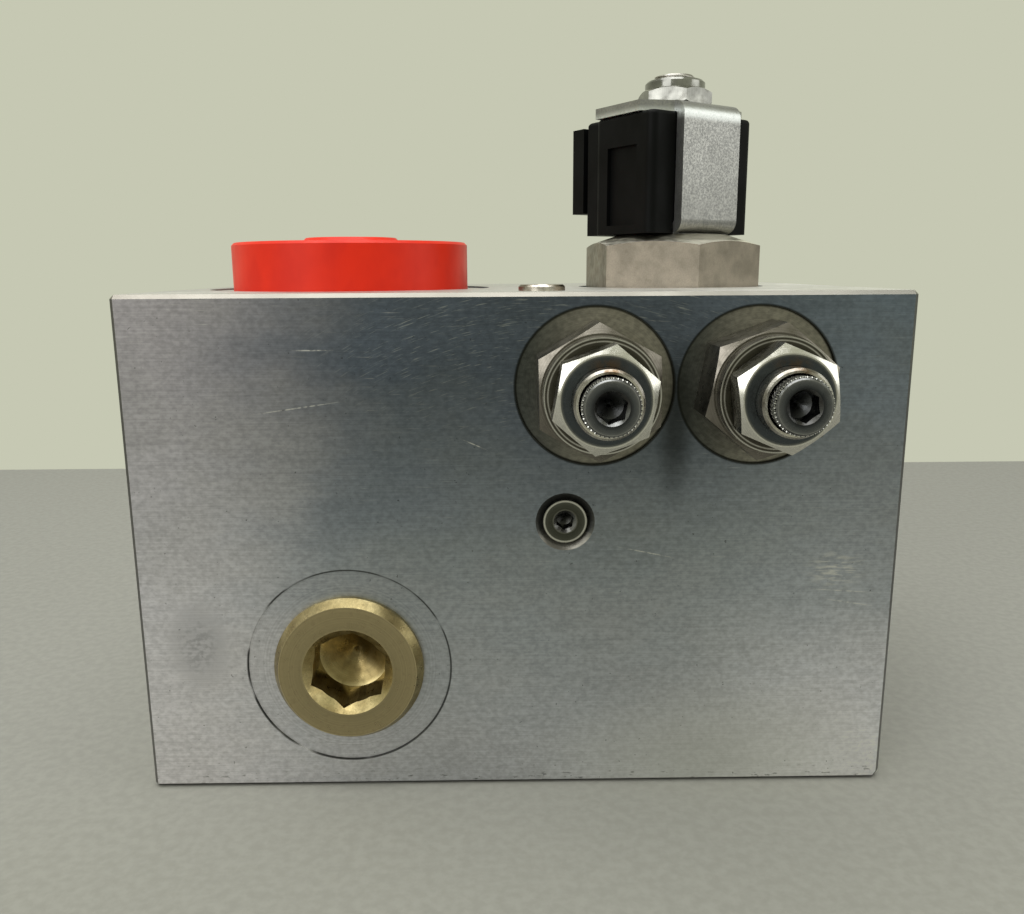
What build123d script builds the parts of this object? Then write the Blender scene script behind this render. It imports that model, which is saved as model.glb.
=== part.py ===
from build123d import *
import os
from math import cos, pi, radians, sin, sqrt, tan

# Hydraulic manifold block: a milled aluminium block with two adjustable relief valves
# in its front face, a solenoid cartridge valve on top, and plugged or capped ports.
# Frame: origin at the middle of the base, +X along the front face, +Y to the rear, +Z up.

# --- Block -------------------------------------------------------------------------
BLOCK_WIDTH = 152.4
BLOCK_DEPTH = 101.6
BLOCK_HEIGHT = 101.6
EDGE_BREAK = 0.8
KNOCK_WIDTH = 2.0
KNOCK_HEIGHT = 3.0
KNOCK_DEPTH = 2.0
DRILL_ANGLE = 118.0

# --- Clearances, radial ------------------------------------------------------------
FIT = 0.05
SEAL_FIT = 0.03
SEAL_SIDES = 6
SLIDE_FIT = 0.05
COIL_FIT = 0.2

# --- Front port and its plug ---------------------------------------------------------
PORT_X = -34.3
PORT_Z = 26.6
PORT_SPOTFACE_D = 41.3
PORT_SPOTFACE_DEPTH = 0.25
PORT_THREAD_D = 27.0
PORT_THREAD_DEPTH = 25.0
PORT_GALLERY_D = 19.0
PLUG_HEAD_D = 30.3
PLUG_HEAD_HEIGHT = 3.0
PLUG_BEVEL_WIDTH = 1.25
PLUG_BEVEL_LENGTH = 2.0
PLUG_SHANK_LENGTH = 17.0
PLUG_COUNTERSINK_D = 18.2
PLUG_PILOT_D = 14.6
PLUG_SOCKET_AF = 14.29
PLUG_SOCKET_TURN = 21.5
PLUG_SOCKET_DEPTH = 9.0
PLUG_SEAL_WIRE = 2.95

# --- Capped port in the top face -----------------------------------------------------
CAP_X = -38.1
CAP_Y = -3.0
CAP_PORT_SPOTFACE_D = 65.0
CAP_PORT_SPOTFACE_DEPTH = 0.4
CAP_PORT_THREAD_D = 47.6
CAP_PORT_DEPTH = 28.0
CAP_GALLERY_D = 34.0
CAP_HEAD_D = 54.6
CAP_HEAD_HEIGHT = 10.8
CAP_HUB_D = 21.0
CAP_HUB_HEIGHT = 1.2
CAP_SKIRT_LENGTH = 13.0
CAP_WALL = 2.6
CAP_EDGE_BREAK = 0.6
CAP_LEAD_IN = 1.5

# --- Small plugs ---------------------------------------------------------------------
GAUGE_X = 9.5
GAUGE_Z = 56.9
GAUGE_COUNTERSINK_D = 11.7
GAUGE_HEAD_D = 8.7
GAUGE_HEAD_HEIGHT = 1.9
GAUGE_SINK = 0.2
GAUGE_THREAD_D = 7.9
GAUGE_LENGTH = 9.0
GAUGE_SOCKET_AF = 3.2
GAUGE_SOCKET_TURN = 21.6
GAUGE_SOCKET_DEPTH = 3.5
GAUGE_SEAL_WIRE = 1.2
GAUGE_PASSAGE_D = 4.0
GAUGE_END_SPACE = 3.0

TOP_PLUG_X = 5.4
TOP_PLUG_Y = -37.8
TOP_PLUG_HEAD_D = 9.4
TOP_PLUG_HEAD_HEIGHT = 1.2
TOP_PLUG_THREAD_D = 7.9
TOP_PLUG_LENGTH = 6.0
TOP_PLUG_SOCKET_AF = 3.2
TOP_PLUG_SOCKET_DEPTH = 3.5

SIDE_SPOTFACE_D = 22.0
SIDE_SPOTFACE_DEPTH = 0.25
SIDE_HEAD_D = 18.0
SIDE_HEAD_HEIGHT = 2.6
SIDE_HEAD_BEVEL = 0.6
SIDE_THREAD_D = 14.3
SIDE_PORT_DEPTH = 14.0
SIDE_PLUG_LENGTH = 11.0
SIDE_SOCKET_AF = 6.35
SIDE_SOCKET_DEPTH = 5.5
SIDE_SEAL_WIRE = 1.8

# --- Galleries -----------------------------------------------------------------------
LOWER_GALLERY_Z = 45.0
LOWER_GALLERY_D = 12.0
PRESSURE_GALLERY_Y = 4.0
PRESSURE_GALLERY_D = 8.0
RETURN_GALLERY_DROP = 9.0
RETURN_GALLERY_D = 8.0
REAR_PORT_THREAD_D = 19.05
REAR_PORT_DEPTH = 20.0
REAR_PORT_SPOTFACE_D = 30.0
REAR_PORT_SPOTFACE_DEPTH = 0.25
REAR_GALLERY_D = 8.0
GALLERY_OVERLAP = 4.0
MOUNT_HOLE_D = 9.525
MOUNT_HOLE_DEPTH = 16.0
MOUNT_PITCH_X = 114.3
MOUNT_PITCH_Y = 63.5

# --- Relief valves ---------------------------------------------------------------------
VALVE_LEFT_X = 15.0
VALVE_RIGHT_X = 46.3
VALVE_DROP = 17.9
VALVE_Z = BLOCK_HEIGHT - VALVE_DROP
VALVE_SPOTFACE_D = 30.6
VALVE_SPOTFACE_DEPTH = 0.6
BODY_HEX_AF = 22.2
BODY_HEX_LENGTH = 11.1
BODY_HEX_FACE_D = 21.8
BODY_COLLAR_D = 21.0
BODY_COLLAR_LENGTH = 3.1
BODY_GROOVE_WIDTH = 0.4
BODY_GROOVE_DEPTH = 0.35
BODY_THREAD_D = 19.05
BODY_THREAD_LENGTH = 12.4
BODY_SPIGOT_LENGTH = 5.0
BODY_CHAMBER_D = 11.0
BODY_SEAL_WIRE = 2.2
LEFT_BODY_TURN = 31.0
RIGHT_BODY_TURN = 20.0
NUT_AF = 17.0
NUT_THICKNESS = 6.4
NUT_FACE_D = 16.2
LEFT_NUT_TURN = 19.75
RIGHT_NUT_TURN = 36.8
STEM_D = 12.0
STEM_LENGTH = 17.7
STEM_PROUD = 4.2
STEM_THREAD_LENGTH = 6.5
STEM_MOUTH_D = 10.4
SCREW_THREAD_D = 6.35
SCREW_HEAD_D = 9.5
SCREW_HEAD_LENGTH = 7.2
SCREW_PROUD = 3.4
SCREW_BEVEL = 0.25
SCREW_COUNTERSINK_D = 5.9
SCREW_SOCKET_AF = 4.76
SCREW_SOCKET_DEPTH = 4.0
SCREW_SHANK_LENGTH = 15.9
SEAT_D = 10.0
SEAT_THICKNESS = 3.5
SPRING_PILOT_D = 5.6
SPRING_PILOT_LENGTH = 2.0
CAGE_D = 15.8
CAGE_LENGTH = 9.0
CAGE_NOSE_D = 12.5
CAGE_NOSE_LENGTH = 4.0
CAGE_SEAL_WIRE = 1.4
CAGE_GROOVE_WIDTH = 1.6
CAGE_SEAT_D = 6.0
CAGE_GUIDE_DEPTH = 7.0
CAGE_PORT_D = 3.5
CAGE_PORT_COUNT = 4
POPPET_D = 8.9
POPPET_BODY_LENGTH = 7.0
POPPET_CONE_LENGTH = 3.2
POPPET_TIP_D = 4.0
POPPET_SEAT_GAP = 0.08
SPRING_D = 9.0
SPRING_WIRE = 1.3
SPRING_TURNS = 6
SPRING_RUNS = 10
SPRING_END_GAP = 0.2
NOSE_DRILL_D = 6.0
NOSE_DRILL_REACH = 47.8

# --- Solenoid cartridge valve ----------------------------------------------------------
SOLENOID_X = 38.1
SOLENOID_Y = 0.0
SOLENOID_SPOTFACE_D = 44.0
SOLENOID_SPOTFACE_DEPTH = 0.3
SOLENOID_HEX_AF = 36.5
SOLENOID_HEX_TURN = 37.0
SOLENOID_HEX_HEIGHT = 12.2
SOLENOID_HEX_FACE_D = 26.0
SOLENOID_HEX_CHAMFER = 18.0
SOLENOID_THREAD_D = 27.0
SOLENOID_THREAD_LENGTH = 15.7
SOLENOID_SEAL_WIRE = 2.9
SOLENOID_CAGE_D = 24.0
SOLENOID_CAGE_LENGTH = 18.0
SOLENOID_NOSE_D = 20.6
SOLENOID_NOSE_LENGTH = 14.0
SOLENOID_CAGE_PORT_D = 5.0
SOLENOID_CAGE_PORT_COUNT = 6
SOLENOID_CAGE_SEAL_WIRE = 1.8
SOLENOID_NOSE_HOLE_D = 8.0
SPOOL_D = 12.0
SPOOL_NECK_D = 8.0
SPOOL_LAND_LENGTH = 7.0
SPOOL_HEAD_SPACE = 3.0
SPOOL_LENGTH = 24.0
TUBE_D = 14.2
TUBE_BORE_D = 10.6
TUBE_SOCKET_DEPTH = 10.0
TUBE_END_THICKNESS = 1.6
STUD_D = 9.3
STUD_HEIGHT = 9.6
POLE_LENGTH = 12.0
SPRING_POCKET_D = 5.0
SPRING_POCKET_DEPTH = 5.0
PLUNGER_GAP = 3.0
PLUNGER_LENGTH = 18.0
PUSH_ROD_D = 6.0
RETURN_SPRING_D = 4.5
RETURN_SPRING_WIRE = 0.7
RETURN_SPRING_TURNS = 5

# --- Coil ------------------------------------------------------------------------------
COIL_TURN = 33.0
COIL_HALF_WIDTH = 15.8
COIL_FRONT = 10.0
COIL_SHOULDER = 9.8
COIL_BACK = 14.0
COIL_REAR_HALF_WIDTH = 14.4
COIL_SEAT_GAP = 0.1
COIL_HEIGHT = 26.2
COIL_CORNER_RADIUS = 2.0
COIL_TOP_RADIUS = 1.0
PANEL_HALF_WIDTH = 5.0
PANEL_LOW = 2.0
PANEL_HEIGHT = 17.3
PANEL_DEPTH = 1.0
FRAME_THICKNESS = 2.3
FRAME_LEG_HALF_WIDTH = 8.8
FRAME_BEND_RADIUS = 3.0
FRAME_GAP = 0.25
FRAME_TOP_HALF_WIDTH = 16.1
FRAME_TOP_BACK = 9.2
FRAME_TOP_TAPER = 4.0
FRAME_STUD_HOLE_D = 9.9
BOBBIN_WALL = 0.7
BOBBIN_FLANGE_D = 18.8
BOBBIN_FLANGE_THICKNESS = 1.0
BOBBIN_LENGTH = 17.0
CONNECTOR_LEFT = -14.0
CONNECTOR_RIGHT = 6.0
CONNECTOR_REACH = 20.4
CONNECTOR_LOW = 5.4
CONNECTOR_HEIGHT = 19.8
CONNECTOR_RIM = 4.2
CONNECTOR_NECK_LENGTH = 2.2
CONNECTOR_NECK_DEPTH = 1.6
CONNECTOR_WALL = 1.5
CONNECTOR_POCKET_DEPTH = 7.0
TERMINAL_PITCH = 5.5
TERMINAL_WIDTH = 2.8
TERMINAL_THICKNESS = 0.8
TERMINAL_LENGTH = 8.5
TERMINAL_ROOT = 3.0
COIL_NUT_AF = 15.0
COIL_NUT_TURN = 37.0
COIL_NUT_HEX_HEIGHT = 4.0
COIL_NUT_FACE_D = 14.4
COIL_NUT_COLLAR_D = 13.8
COIL_NUT_COLLAR_HEIGHT = 2.0

HEX_CHAMFER = 30.0

os.makedirs("parts", exist_ok=True)


# --- Places and shared operations --------------------------------------------------------
def front(x: float, z: float, out: float = 0.0) -> Plane:
    """Plane on the front face, its normal pointing out of the block."""
    return Plane(origin=(x, -BLOCK_DEPTH / 2 - out, z), x_dir=(1, 0, 0), z_dir=(0, -1, 0))


def rear(x: float, z: float) -> Plane:
    """Plane on the rear face, its normal pointing out of the block."""
    return Plane(origin=(x, BLOCK_DEPTH / 2, z), x_dir=(-1, 0, 0), z_dir=(0, 1, 0))


def top(x: float, y: float, up: float = 0.0) -> Plane:
    """Plane on the top face, its normal pointing up."""
    return Plane(origin=(x, y, BLOCK_HEIGHT + up), x_dir=(1, 0, 0), z_dir=(0, 0, 1))


def side(y: float, z: float) -> Plane:
    """Plane on the right face, its normal pointing out of the block."""
    return Plane(origin=(BLOCK_WIDTH / 2, y, z), x_dir=(0, 1, 0), z_dir=(1, 0, 0))


def turn(seat: Plane, outline: list, mode: Mode = Mode.ADD) -> None:
    """Turn a closed outline of (radius, height) points about the normal of its seat."""
    with BuildSketch(Plane(origin=seat.origin, x_dir=seat.x_dir, z_dir=-seat.y_dir)) as profile:
        with BuildLine():
            Polyline(*outline, close=True)
        make_face()
    revolve(profile.sketch, axis=Axis(seat.origin, seat.z_dir), mode=mode)


def prism(seat: Plane, flats: float, rotation: float, length: float, mode: Mode = Mode.ADD) -> None:
    """Raise a hexagonal prism of a given width across flats from its seat."""
    with BuildSketch(seat) as hexagon:
        RegularPolygon(radius=flats / 2, side_count=6, major_radius=False, rotation=rotation)
    extrude(hexagon.sketch, amount=length, mode=mode)


def trim_corners(seat: Plane, flats: float, face: float, length: float, both: bool = False,
                 angle: float = HEX_CHAMFER) -> None:
    """Turn the corners of a hexagonal prism back to a cone at its far end, or at both."""
    outer = flats / 2 / cos(radians(30)) + 1
    drop = (outer - face / 2) * tan(radians(angle))
    foot = face / 2 if both else outer
    rise = drop if both else 0.0
    outline = [(0, 0), (foot, 0), (outer, rise), (outer, length - drop), (face / 2, length), (0, length)]
    if not both:
        outline.pop(2)
    turn(seat, outline, mode=Mode.INTERSECT)


def socket(seat: Plane, flats: float, rotation: float, depth: float, mouth: float) -> None:
    """Sink a hexagonal socket with a turned countersink, from a plane on the head."""
    prism(seat, flats, rotation, -depth, mode=Mode.SUBTRACT)
    apothem = flats / 2
    fall = (mouth / 2 - apothem) * tan(radians(45))
    turn(seat, [(0, 0), (mouth / 2, 0), (apothem, -fall), (0, -fall)], mode=Mode.SUBTRACT)
    point = apothem / tan(radians(DRILL_ANGLE / 2))
    turn(seat, [(0, -depth), (apothem, -depth), (0, -depth - point)], mode=Mode.SUBTRACT)


def drill(mouth: Plane, diameter: float, depth: float) -> None:
    """Drill a hole with a pointed bottom, inward from a plane on a face."""
    radius = diameter / 2
    point = radius / tan(radians(DRILL_ANGLE / 2))
    turn(mouth, [(0, 0), (radius, 0), (radius, -depth), (0, -depth - point)], mode=Mode.SUBTRACT)


def seal_ring(seat: Plane, inner_radius: float, wire: float) -> None:
    """Seal ring centred on its seat plane, its round section worked as a polygon."""
    with BuildSketch(Plane(origin=seat.origin, x_dir=seat.x_dir, z_dir=-seat.y_dir)) as section:
        with Locations((inner_radius + SEAL_FIT + wire / 2, 0)):
            RegularPolygon(radius=wire / 2, side_count=SEAL_SIDES)
    revolve(section.sketch, axis=Axis(seat.origin, seat.z_dir))


def seat_radius(neck_radius: float, wire: float) -> float:
    """Radius of the pocket that takes a seal ring round a neck."""
    return neck_radius + wire + 2 * SEAL_FIT


def coil_spring(seat: Plane, diameter: float, wire: float, turns: int, length: float) -> None:
    """Wind a compression spring upward from its seat, in straight runs of wire squared to equal area."""
    steps = turns * SPRING_RUNS
    rise = (length - wire - 2 * SPRING_END_GAP) / steps
    mean = (diameter - wire) / 2
    swing = 360 / SPRING_RUNS
    path_points = [(mean * cos(radians(swing * step)), mean * sin(radians(swing * step)), rise * step)
                   for step in range(steps + 1)]
    base = seat.offset(wire / 2 + SPRING_END_GAP)
    with BuildLine(base) as path:
        Polyline(*path_points)
    start = path.line @ 0
    flat = wire * sqrt(pi) / 2
    with BuildSketch(Plane(origin=start, x_dir=start - base.origin, z_dir=path.line % 0)) as section:
        Rectangle(flat, flat)
    sweep(section.sketch, path=path.line, transition=Transition.RIGHT)


def finish(piece: BuildPart, name: str) -> None:
    """Name a finished piece and write it out."""
    piece.part.label = name
    export_step(piece.part, f"parts/{name}.step")


# --- Derived places ------------------------------------------------------------------------
VALVE_FLOOR = -VALVE_SPOTFACE_DEPTH
BODY_HEX_TOP = VALVE_FLOOR + BODY_HEX_LENGTH
BODY_TOP = BODY_HEX_TOP + BODY_COLLAR_LENGTH
BODY_THREAD_END = VALVE_FLOOR - BODY_THREAD_LENGTH
BODY_END = BODY_THREAD_END - BODY_SPIGOT_LENGTH
BODY_NECK_RADIUS = BODY_THREAD_D / 2 - 1.25
BODY_NECK_LENGTH = BODY_SEAL_WIRE + 2 * SEAL_FIT
NUT_TOP = BODY_TOP + NUT_THICKNESS
STEM_TOP = NUT_TOP + STEM_PROUD
STEM_FOOT = STEM_TOP - STEM_LENGTH
SCREW_FACE = STEM_TOP + SCREW_PROUD
SCREW_HEAD_FOOT = SCREW_FACE - SCREW_HEAD_LENGTH
SEAT_TOP = SCREW_HEAD_FOOT - SCREW_SHANK_LENGTH
SEAT_FOOT = SEAT_TOP - SEAT_THICKNESS
CAGE_SHOULDER = BODY_END - CAGE_LENGTH
CAGE_END = CAGE_SHOULDER - CAGE_NOSE_LENGTH
CAGE_SEAT_FACE = BODY_END - CAGE_GUIDE_DEPTH
CAGE_GROOVE_RADIUS = CAGE_NOSE_D / 2 - CAGE_SEAL_WIRE - SEAL_FIT
CAGE_GROOVE_TOP = CAGE_SHOULDER - 0.9
POPPET_SLOPE = (POPPET_D - POPPET_TIP_D) / 2 / POPPET_CONE_LENGTH
POPPET_CONE_TOP = CAGE_SEAT_FACE + (POPPET_D / 2 - CAGE_SEAT_D / 2 + POPPET_SEAT_GAP) / POPPET_SLOPE
POPPET_BACK = POPPET_CONE_TOP + POPPET_BODY_LENGTH
CAGE_PORT_PLACE = (CAGE_SEAT_FACE + CAGE_PORT_D / 2 + 0.1)

PLUG_FLOOR = -PORT_SPOTFACE_DEPTH
PLUG_NECK_RADIUS = PORT_THREAD_D / 2 - 1.85
PLUG_NECK_LENGTH = PLUG_SEAL_WIRE + 2 * SEAL_FIT
SIDE_NECK_RADIUS = SIDE_THREAD_D / 2 - 1.2
SIDE_NECK_LENGTH = SIDE_SEAL_WIRE + 2 * SEAL_FIT
GAUGE_NECK_RADIUS = GAUGE_HEAD_D / 2 - GAUGE_SEAL_WIRE
GAUGE_NECK_LENGTH = GAUGE_SEAL_WIRE + 2 * SEAL_FIT

HEX_FLOOR = -SOLENOID_SPOTFACE_DEPTH
HEX_TOP = HEX_FLOOR + SOLENOID_HEX_HEIGHT
SOLENOID_THREAD_END = HEX_FLOOR - SOLENOID_THREAD_LENGTH
SOLENOID_NECK_RADIUS = SOLENOID_THREAD_D / 2 - 1.85
SOLENOID_NECK_LENGTH = SOLENOID_SEAL_WIRE + 2 * SEAL_FIT
SOLENOID_SHOULDER = SOLENOID_THREAD_END - SOLENOID_CAGE_LENGTH
SOLENOID_END = SOLENOID_SHOULDER - SOLENOID_NOSE_LENGTH
SPOOL_TOP = SOLENOID_THREAD_END - SPOOL_HEAD_SPACE
SPOOL_END = SPOOL_TOP - SPOOL_LENGTH
TUBE_FOOT = HEX_TOP - TUBE_SOCKET_DEPTH
COIL_FOOT = HEX_TOP + COIL_SEAT_GAP
COIL_TOP = COIL_FOOT + COIL_HEIGHT
FRAME_TOP = COIL_TOP + FRAME_THICKNESS
TUBE_TOP = COIL_TOP - COIL_SEAT_GAP
TUBE_ROOF = TUBE_TOP - TUBE_END_THICKNESS
STUD_TOP = TUBE_TOP + STUD_HEIGHT
POLE_FOOT = TUBE_ROOF - POLE_LENGTH
PLUNGER_TOP = POLE_FOOT - PLUNGER_GAP
PLUNGER_FOOT = PLUNGER_TOP - PLUNGER_LENGTH

COIL_U = (cos(radians(COIL_TURN)), sin(radians(COIL_TURN)), 0)
COIL_N = (sin(radians(COIL_TURN)), -cos(radians(COIL_TURN)), 0)


def coil_plane(up: float) -> Plane:
    """Level plane on the coil's axis: x along its width, y to its rear, where the connector is."""
    return Plane(origin=(SOLENOID_X, SOLENOID_Y, BLOCK_HEIGHT + up), x_dir=COIL_U, z_dir=(0, 0, 1))


PORT = front(PORT_X, PORT_Z)
GAUGE = front(GAUGE_X, GAUGE_Z)
CAP = top(CAP_X, CAP_Y)
TOP_PLUG = top(TOP_PLUG_X, TOP_PLUG_Y)
SOLENOID = top(SOLENOID_X, SOLENOID_Y)
REAR_PORT = rear(VALVE_LEFT_X, VALVE_Z)
RETURN_Y = -BLOCK_DEPTH / 2 - CAGE_PORT_PLACE
RETURN_Z = VALVE_Z - RETURN_GALLERY_DROP
SIDE_MOUTHS = [
    ("pressure_plug", side(PRESSURE_GALLERY_Y, VALVE_Z)),
    ("return_plug", side(RETURN_Y, RETURN_Z)),
    ("lower_plug", side(SOLENOID_Y, LOWER_GALLERY_Z)),
]


# --- Manifold block ------------------------------------------------------------------------
def valve_cavity(x: float) -> None:
    """Stepped cavity of one relief valve, with the drilling on from its nose."""
    bore = CAGE_D / 2 + FIT
    nose = CAGE_NOSE_D / 2 + FIT
    thread = BODY_THREAD_D / 2 + FIT
    pocket = seat_radius(BODY_NECK_RADIUS, BODY_SEAL_WIRE)
    pocket_floor = VALVE_FLOOR - BODY_NECK_LENGTH
    turn(front(x, VALVE_Z), [
        (0, 0), (VALVE_SPOTFACE_D / 2, 0), (VALVE_SPOTFACE_D / 2, VALVE_FLOOR),
        (pocket, VALVE_FLOOR), (pocket, pocket_floor), (thread, pocket_floor),
        (thread, BODY_THREAD_END), (bore, BODY_THREAD_END), (bore, CAGE_SHOULDER),
        (nose, CAGE_SHOULDER), (nose, CAGE_END), (0, CAGE_END),
    ], mode=Mode.SUBTRACT)
    drill(front(x, VALVE_Z), NOSE_DRILL_D, NOSE_DRILL_REACH)


with BuildPart() as block:
    with BuildSketch():
        Rectangle(BLOCK_WIDTH, BLOCK_DEPTH)
    extrude(amount=BLOCK_HEIGHT)
    chamfer(block.edges(), length=EDGE_BREAK)

    # Bruised lower front corner
    corner = Vector(BLOCK_WIDTH / 2, -BLOCK_DEPTH / 2, 0)
    bruise = Plane(origin=corner - Vector(KNOCK_WIDTH, 0, 0), z_dir=(1 / KNOCK_WIDTH, -1 / KNOCK_DEPTH, -1 / KNOCK_HEIGHT))
    split(bisect_by=bruise, keep=Keep.BOTTOM)

    # Front port: spotface, seal pocket, thread bore and gallery
    turn(PORT, [
        (0, 0), (PORT_SPOTFACE_D / 2, 0), (PORT_SPOTFACE_D / 2, PLUG_FLOOR),
        (seat_radius(PLUG_NECK_RADIUS, PLUG_SEAL_WIRE), PLUG_FLOOR),
        (seat_radius(PLUG_NECK_RADIUS, PLUG_SEAL_WIRE), PLUG_FLOOR - PLUG_NECK_LENGTH),
        (PORT_THREAD_D / 2 + FIT, PLUG_FLOOR - PLUG_NECK_LENGTH),
        (PORT_THREAD_D / 2 + FIT, -PORT_THREAD_DEPTH), (0, -PORT_THREAD_DEPTH),
    ], mode=Mode.SUBTRACT)
    drill(PORT, PORT_GALLERY_D, BLOCK_DEPTH / 2 + CAP_Y)

    # Large port in the top face
    turn(CAP, [
        (0, 0), (CAP_PORT_SPOTFACE_D / 2, 0), (CAP_PORT_SPOTFACE_D / 2, -CAP_PORT_SPOTFACE_DEPTH),
        (CAP_PORT_THREAD_D / 2 + FIT, -CAP_PORT_SPOTFACE_DEPTH),
        (CAP_PORT_THREAD_D / 2 + FIT, -CAP_PORT_DEPTH), (0, -CAP_PORT_DEPTH),
    ], mode=Mode.SUBTRACT)
    drill(CAP, CAP_GALLERY_D, BLOCK_HEIGHT - PORT_Z)

    # Relief valve cavities
    valve_cavity(VALVE_LEFT_X)
    valve_cavity(VALVE_RIGHT_X)

    # Solenoid valve cavity, opening below into the lower gallery
    solenoid_pocket = seat_radius(SOLENOID_NECK_RADIUS, SOLENOID_SEAL_WIRE)
    turn(SOLENOID, [
        (0, 0), (SOLENOID_SPOTFACE_D / 2, 0), (SOLENOID_SPOTFACE_D / 2, HEX_FLOOR),
        (solenoid_pocket, HEX_FLOOR), (solenoid_pocket, HEX_FLOOR - SOLENOID_NECK_LENGTH),
        (SOLENOID_THREAD_D / 2 + FIT, HEX_FLOOR - SOLENOID_NECK_LENGTH),
        (SOLENOID_THREAD_D / 2 + FIT, SOLENOID_THREAD_END),
        (SOLENOID_CAGE_D / 2 + FIT, SOLENOID_THREAD_END),
        (SOLENOID_CAGE_D / 2 + FIT, SOLENOID_SHOULDER),
        (SOLENOID_NOSE_D / 2 + FIT, SOLENOID_SHOULDER),
        (SOLENOID_NOSE_D / 2 + FIT, SOLENOID_END), (0, SOLENOID_END),
    ], mode=Mode.SUBTRACT)
    drill(SOLENOID, LOWER_GALLERY_D, BLOCK_HEIGHT - LOWER_GALLERY_Z)

    # Gauge port, countersunk, with a passage slanting up to the return gallery
    gauge_pocket = GAUGE_HEAD_D / 2 + FIT
    gauge_fall = GAUGE_COUNTERSINK_D / 2 - gauge_pocket
    gauge_floor = -GAUGE_SINK - GAUGE_HEAD_HEIGHT - GAUGE_NECK_LENGTH
    turn(GAUGE, [
        (0, 0), (GAUGE_COUNTERSINK_D / 2, 0), (gauge_pocket, -gauge_fall),
        (gauge_pocket, gauge_floor), (GAUGE_THREAD_D / 2 + FIT, gauge_floor),
        (GAUGE_THREAD_D / 2 + FIT, -GAUGE_LENGTH - GAUGE_END_SPACE), (0, -GAUGE_LENGTH - GAUGE_END_SPACE),
    ], mode=Mode.SUBTRACT)
    gauge_start = Vector(GAUGE_X, -BLOCK_DEPTH / 2 + GAUGE_LENGTH + 2, GAUGE_Z)
    gauge_run = Vector(GAUGE_X, RETURN_Y, RETURN_Z) - gauge_start
    with BuildSketch(Plane(origin=gauge_start, x_dir=(1, 0, 0), z_dir=gauge_run)):
        Circle(GAUGE_PASSAGE_D / 2)
    extrude(amount=gauge_run.length, mode=Mode.SUBTRACT)

    # Top construction hole
    drill(TOP_PLUG, TOP_PLUG_THREAD_D + 2 * FIT, TOP_PLUG_LENGTH)

    # Cross galleries from the right face, each with a plug port
    for name, mouth in SIDE_MOUTHS:
        side_pocket = seat_radius(SIDE_NECK_RADIUS, SIDE_SEAL_WIRE)
        side_floor = -SIDE_SPOTFACE_DEPTH
        turn(mouth, [
            (0, 0), (SIDE_SPOTFACE_D / 2, 0), (SIDE_SPOTFACE_D / 2, side_floor),
            (side_pocket, side_floor), (side_pocket, side_floor - SIDE_NECK_LENGTH),
            (SIDE_THREAD_D / 2 + FIT, side_floor - SIDE_NECK_LENGTH),
            (SIDE_THREAD_D / 2 + FIT, -SIDE_PORT_DEPTH), (0, -SIDE_PORT_DEPTH),
        ], mode=Mode.SUBTRACT)
    drill(SIDE_MOUTHS[0][1], PRESSURE_GALLERY_D, BLOCK_WIDTH / 2 - VALVE_LEFT_X)
    drill(SIDE_MOUTHS[1][1], RETURN_GALLERY_D, BLOCK_WIDTH / 2 - CAP_X)
    drill(SIDE_MOUTHS[2][1], LOWER_GALLERY_D, BLOCK_WIDTH / 2 - CAP_X)

    # Open port in the rear face, in line with the left relief valve
    turn(REAR_PORT, [
        (0, 0), (REAR_PORT_SPOTFACE_D / 2, 0), (REAR_PORT_SPOTFACE_D / 2, -REAR_PORT_SPOTFACE_DEPTH),
        (REAR_PORT_THREAD_D / 2, -REAR_PORT_SPOTFACE_DEPTH),
        (REAR_PORT_THREAD_D / 2, -REAR_PORT_DEPTH), (0, -REAR_PORT_DEPTH),
    ], mode=Mode.SUBTRACT)
    drill(REAR_PORT, REAR_GALLERY_D, BLOCK_DEPTH - NOSE_DRILL_REACH + GALLERY_OVERLAP)

    # Tapped mounting holes in the base
    with GridLocations(MOUNT_PITCH_X, MOUNT_PITCH_Y, 2, 2) as grid:
        places = [place.position for place in grid.locations]
    for place in places:
        base_mouth = Plane(origin=place, x_dir=(1, 0, 0), z_dir=(0, 0, -1))
        drill(base_mouth, MOUNT_HOLE_D, MOUNT_HOLE_DEPTH)
finish(block, "manifold_block")


# --- Plugs and cap ---------------------------------------------------------------------------
with BuildPart() as port_plug:
    head_top = PLUG_FLOOR + PLUG_HEAD_HEIGHT
    turn(PORT, [
        (0, head_top), (PLUG_HEAD_D / 2 - PLUG_BEVEL_WIDTH, head_top),
        (PLUG_HEAD_D / 2, head_top - PLUG_BEVEL_LENGTH), (PLUG_HEAD_D / 2, PLUG_FLOOR),
        (PLUG_NECK_RADIUS, PLUG_FLOOR), (PLUG_NECK_RADIUS, PLUG_FLOOR - PLUG_NECK_LENGTH),
        (PORT_THREAD_D / 2, PLUG_FLOOR - PLUG_NECK_LENGTH),
        (PORT_THREAD_D / 2, PLUG_FLOOR - PLUG_SHANK_LENGTH), (0, PLUG_FLOOR - PLUG_SHANK_LENGTH),
    ])
    plug_face = PORT.offset(head_top)
    prism(plug_face, PLUG_SOCKET_AF, PLUG_SOCKET_TURN, -PLUG_SOCKET_DEPTH, mode=Mode.SUBTRACT)
    plug_fall = (PLUG_COUNTERSINK_D - PLUG_PILOT_D) / 2
    plug_point = PLUG_PILOT_D / 2 / tan(radians(DRILL_ANGLE / 2))
    turn(plug_face, [
        (0, 0), (PLUG_COUNTERSINK_D / 2, 0), (PLUG_PILOT_D / 2, -plug_fall),
        (PLUG_PILOT_D / 2, -PLUG_SOCKET_DEPTH), (0, -PLUG_SOCKET_DEPTH - plug_point),
    ], mode=Mode.SUBTRACT)
finish(port_plug, "port_plug")

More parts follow.
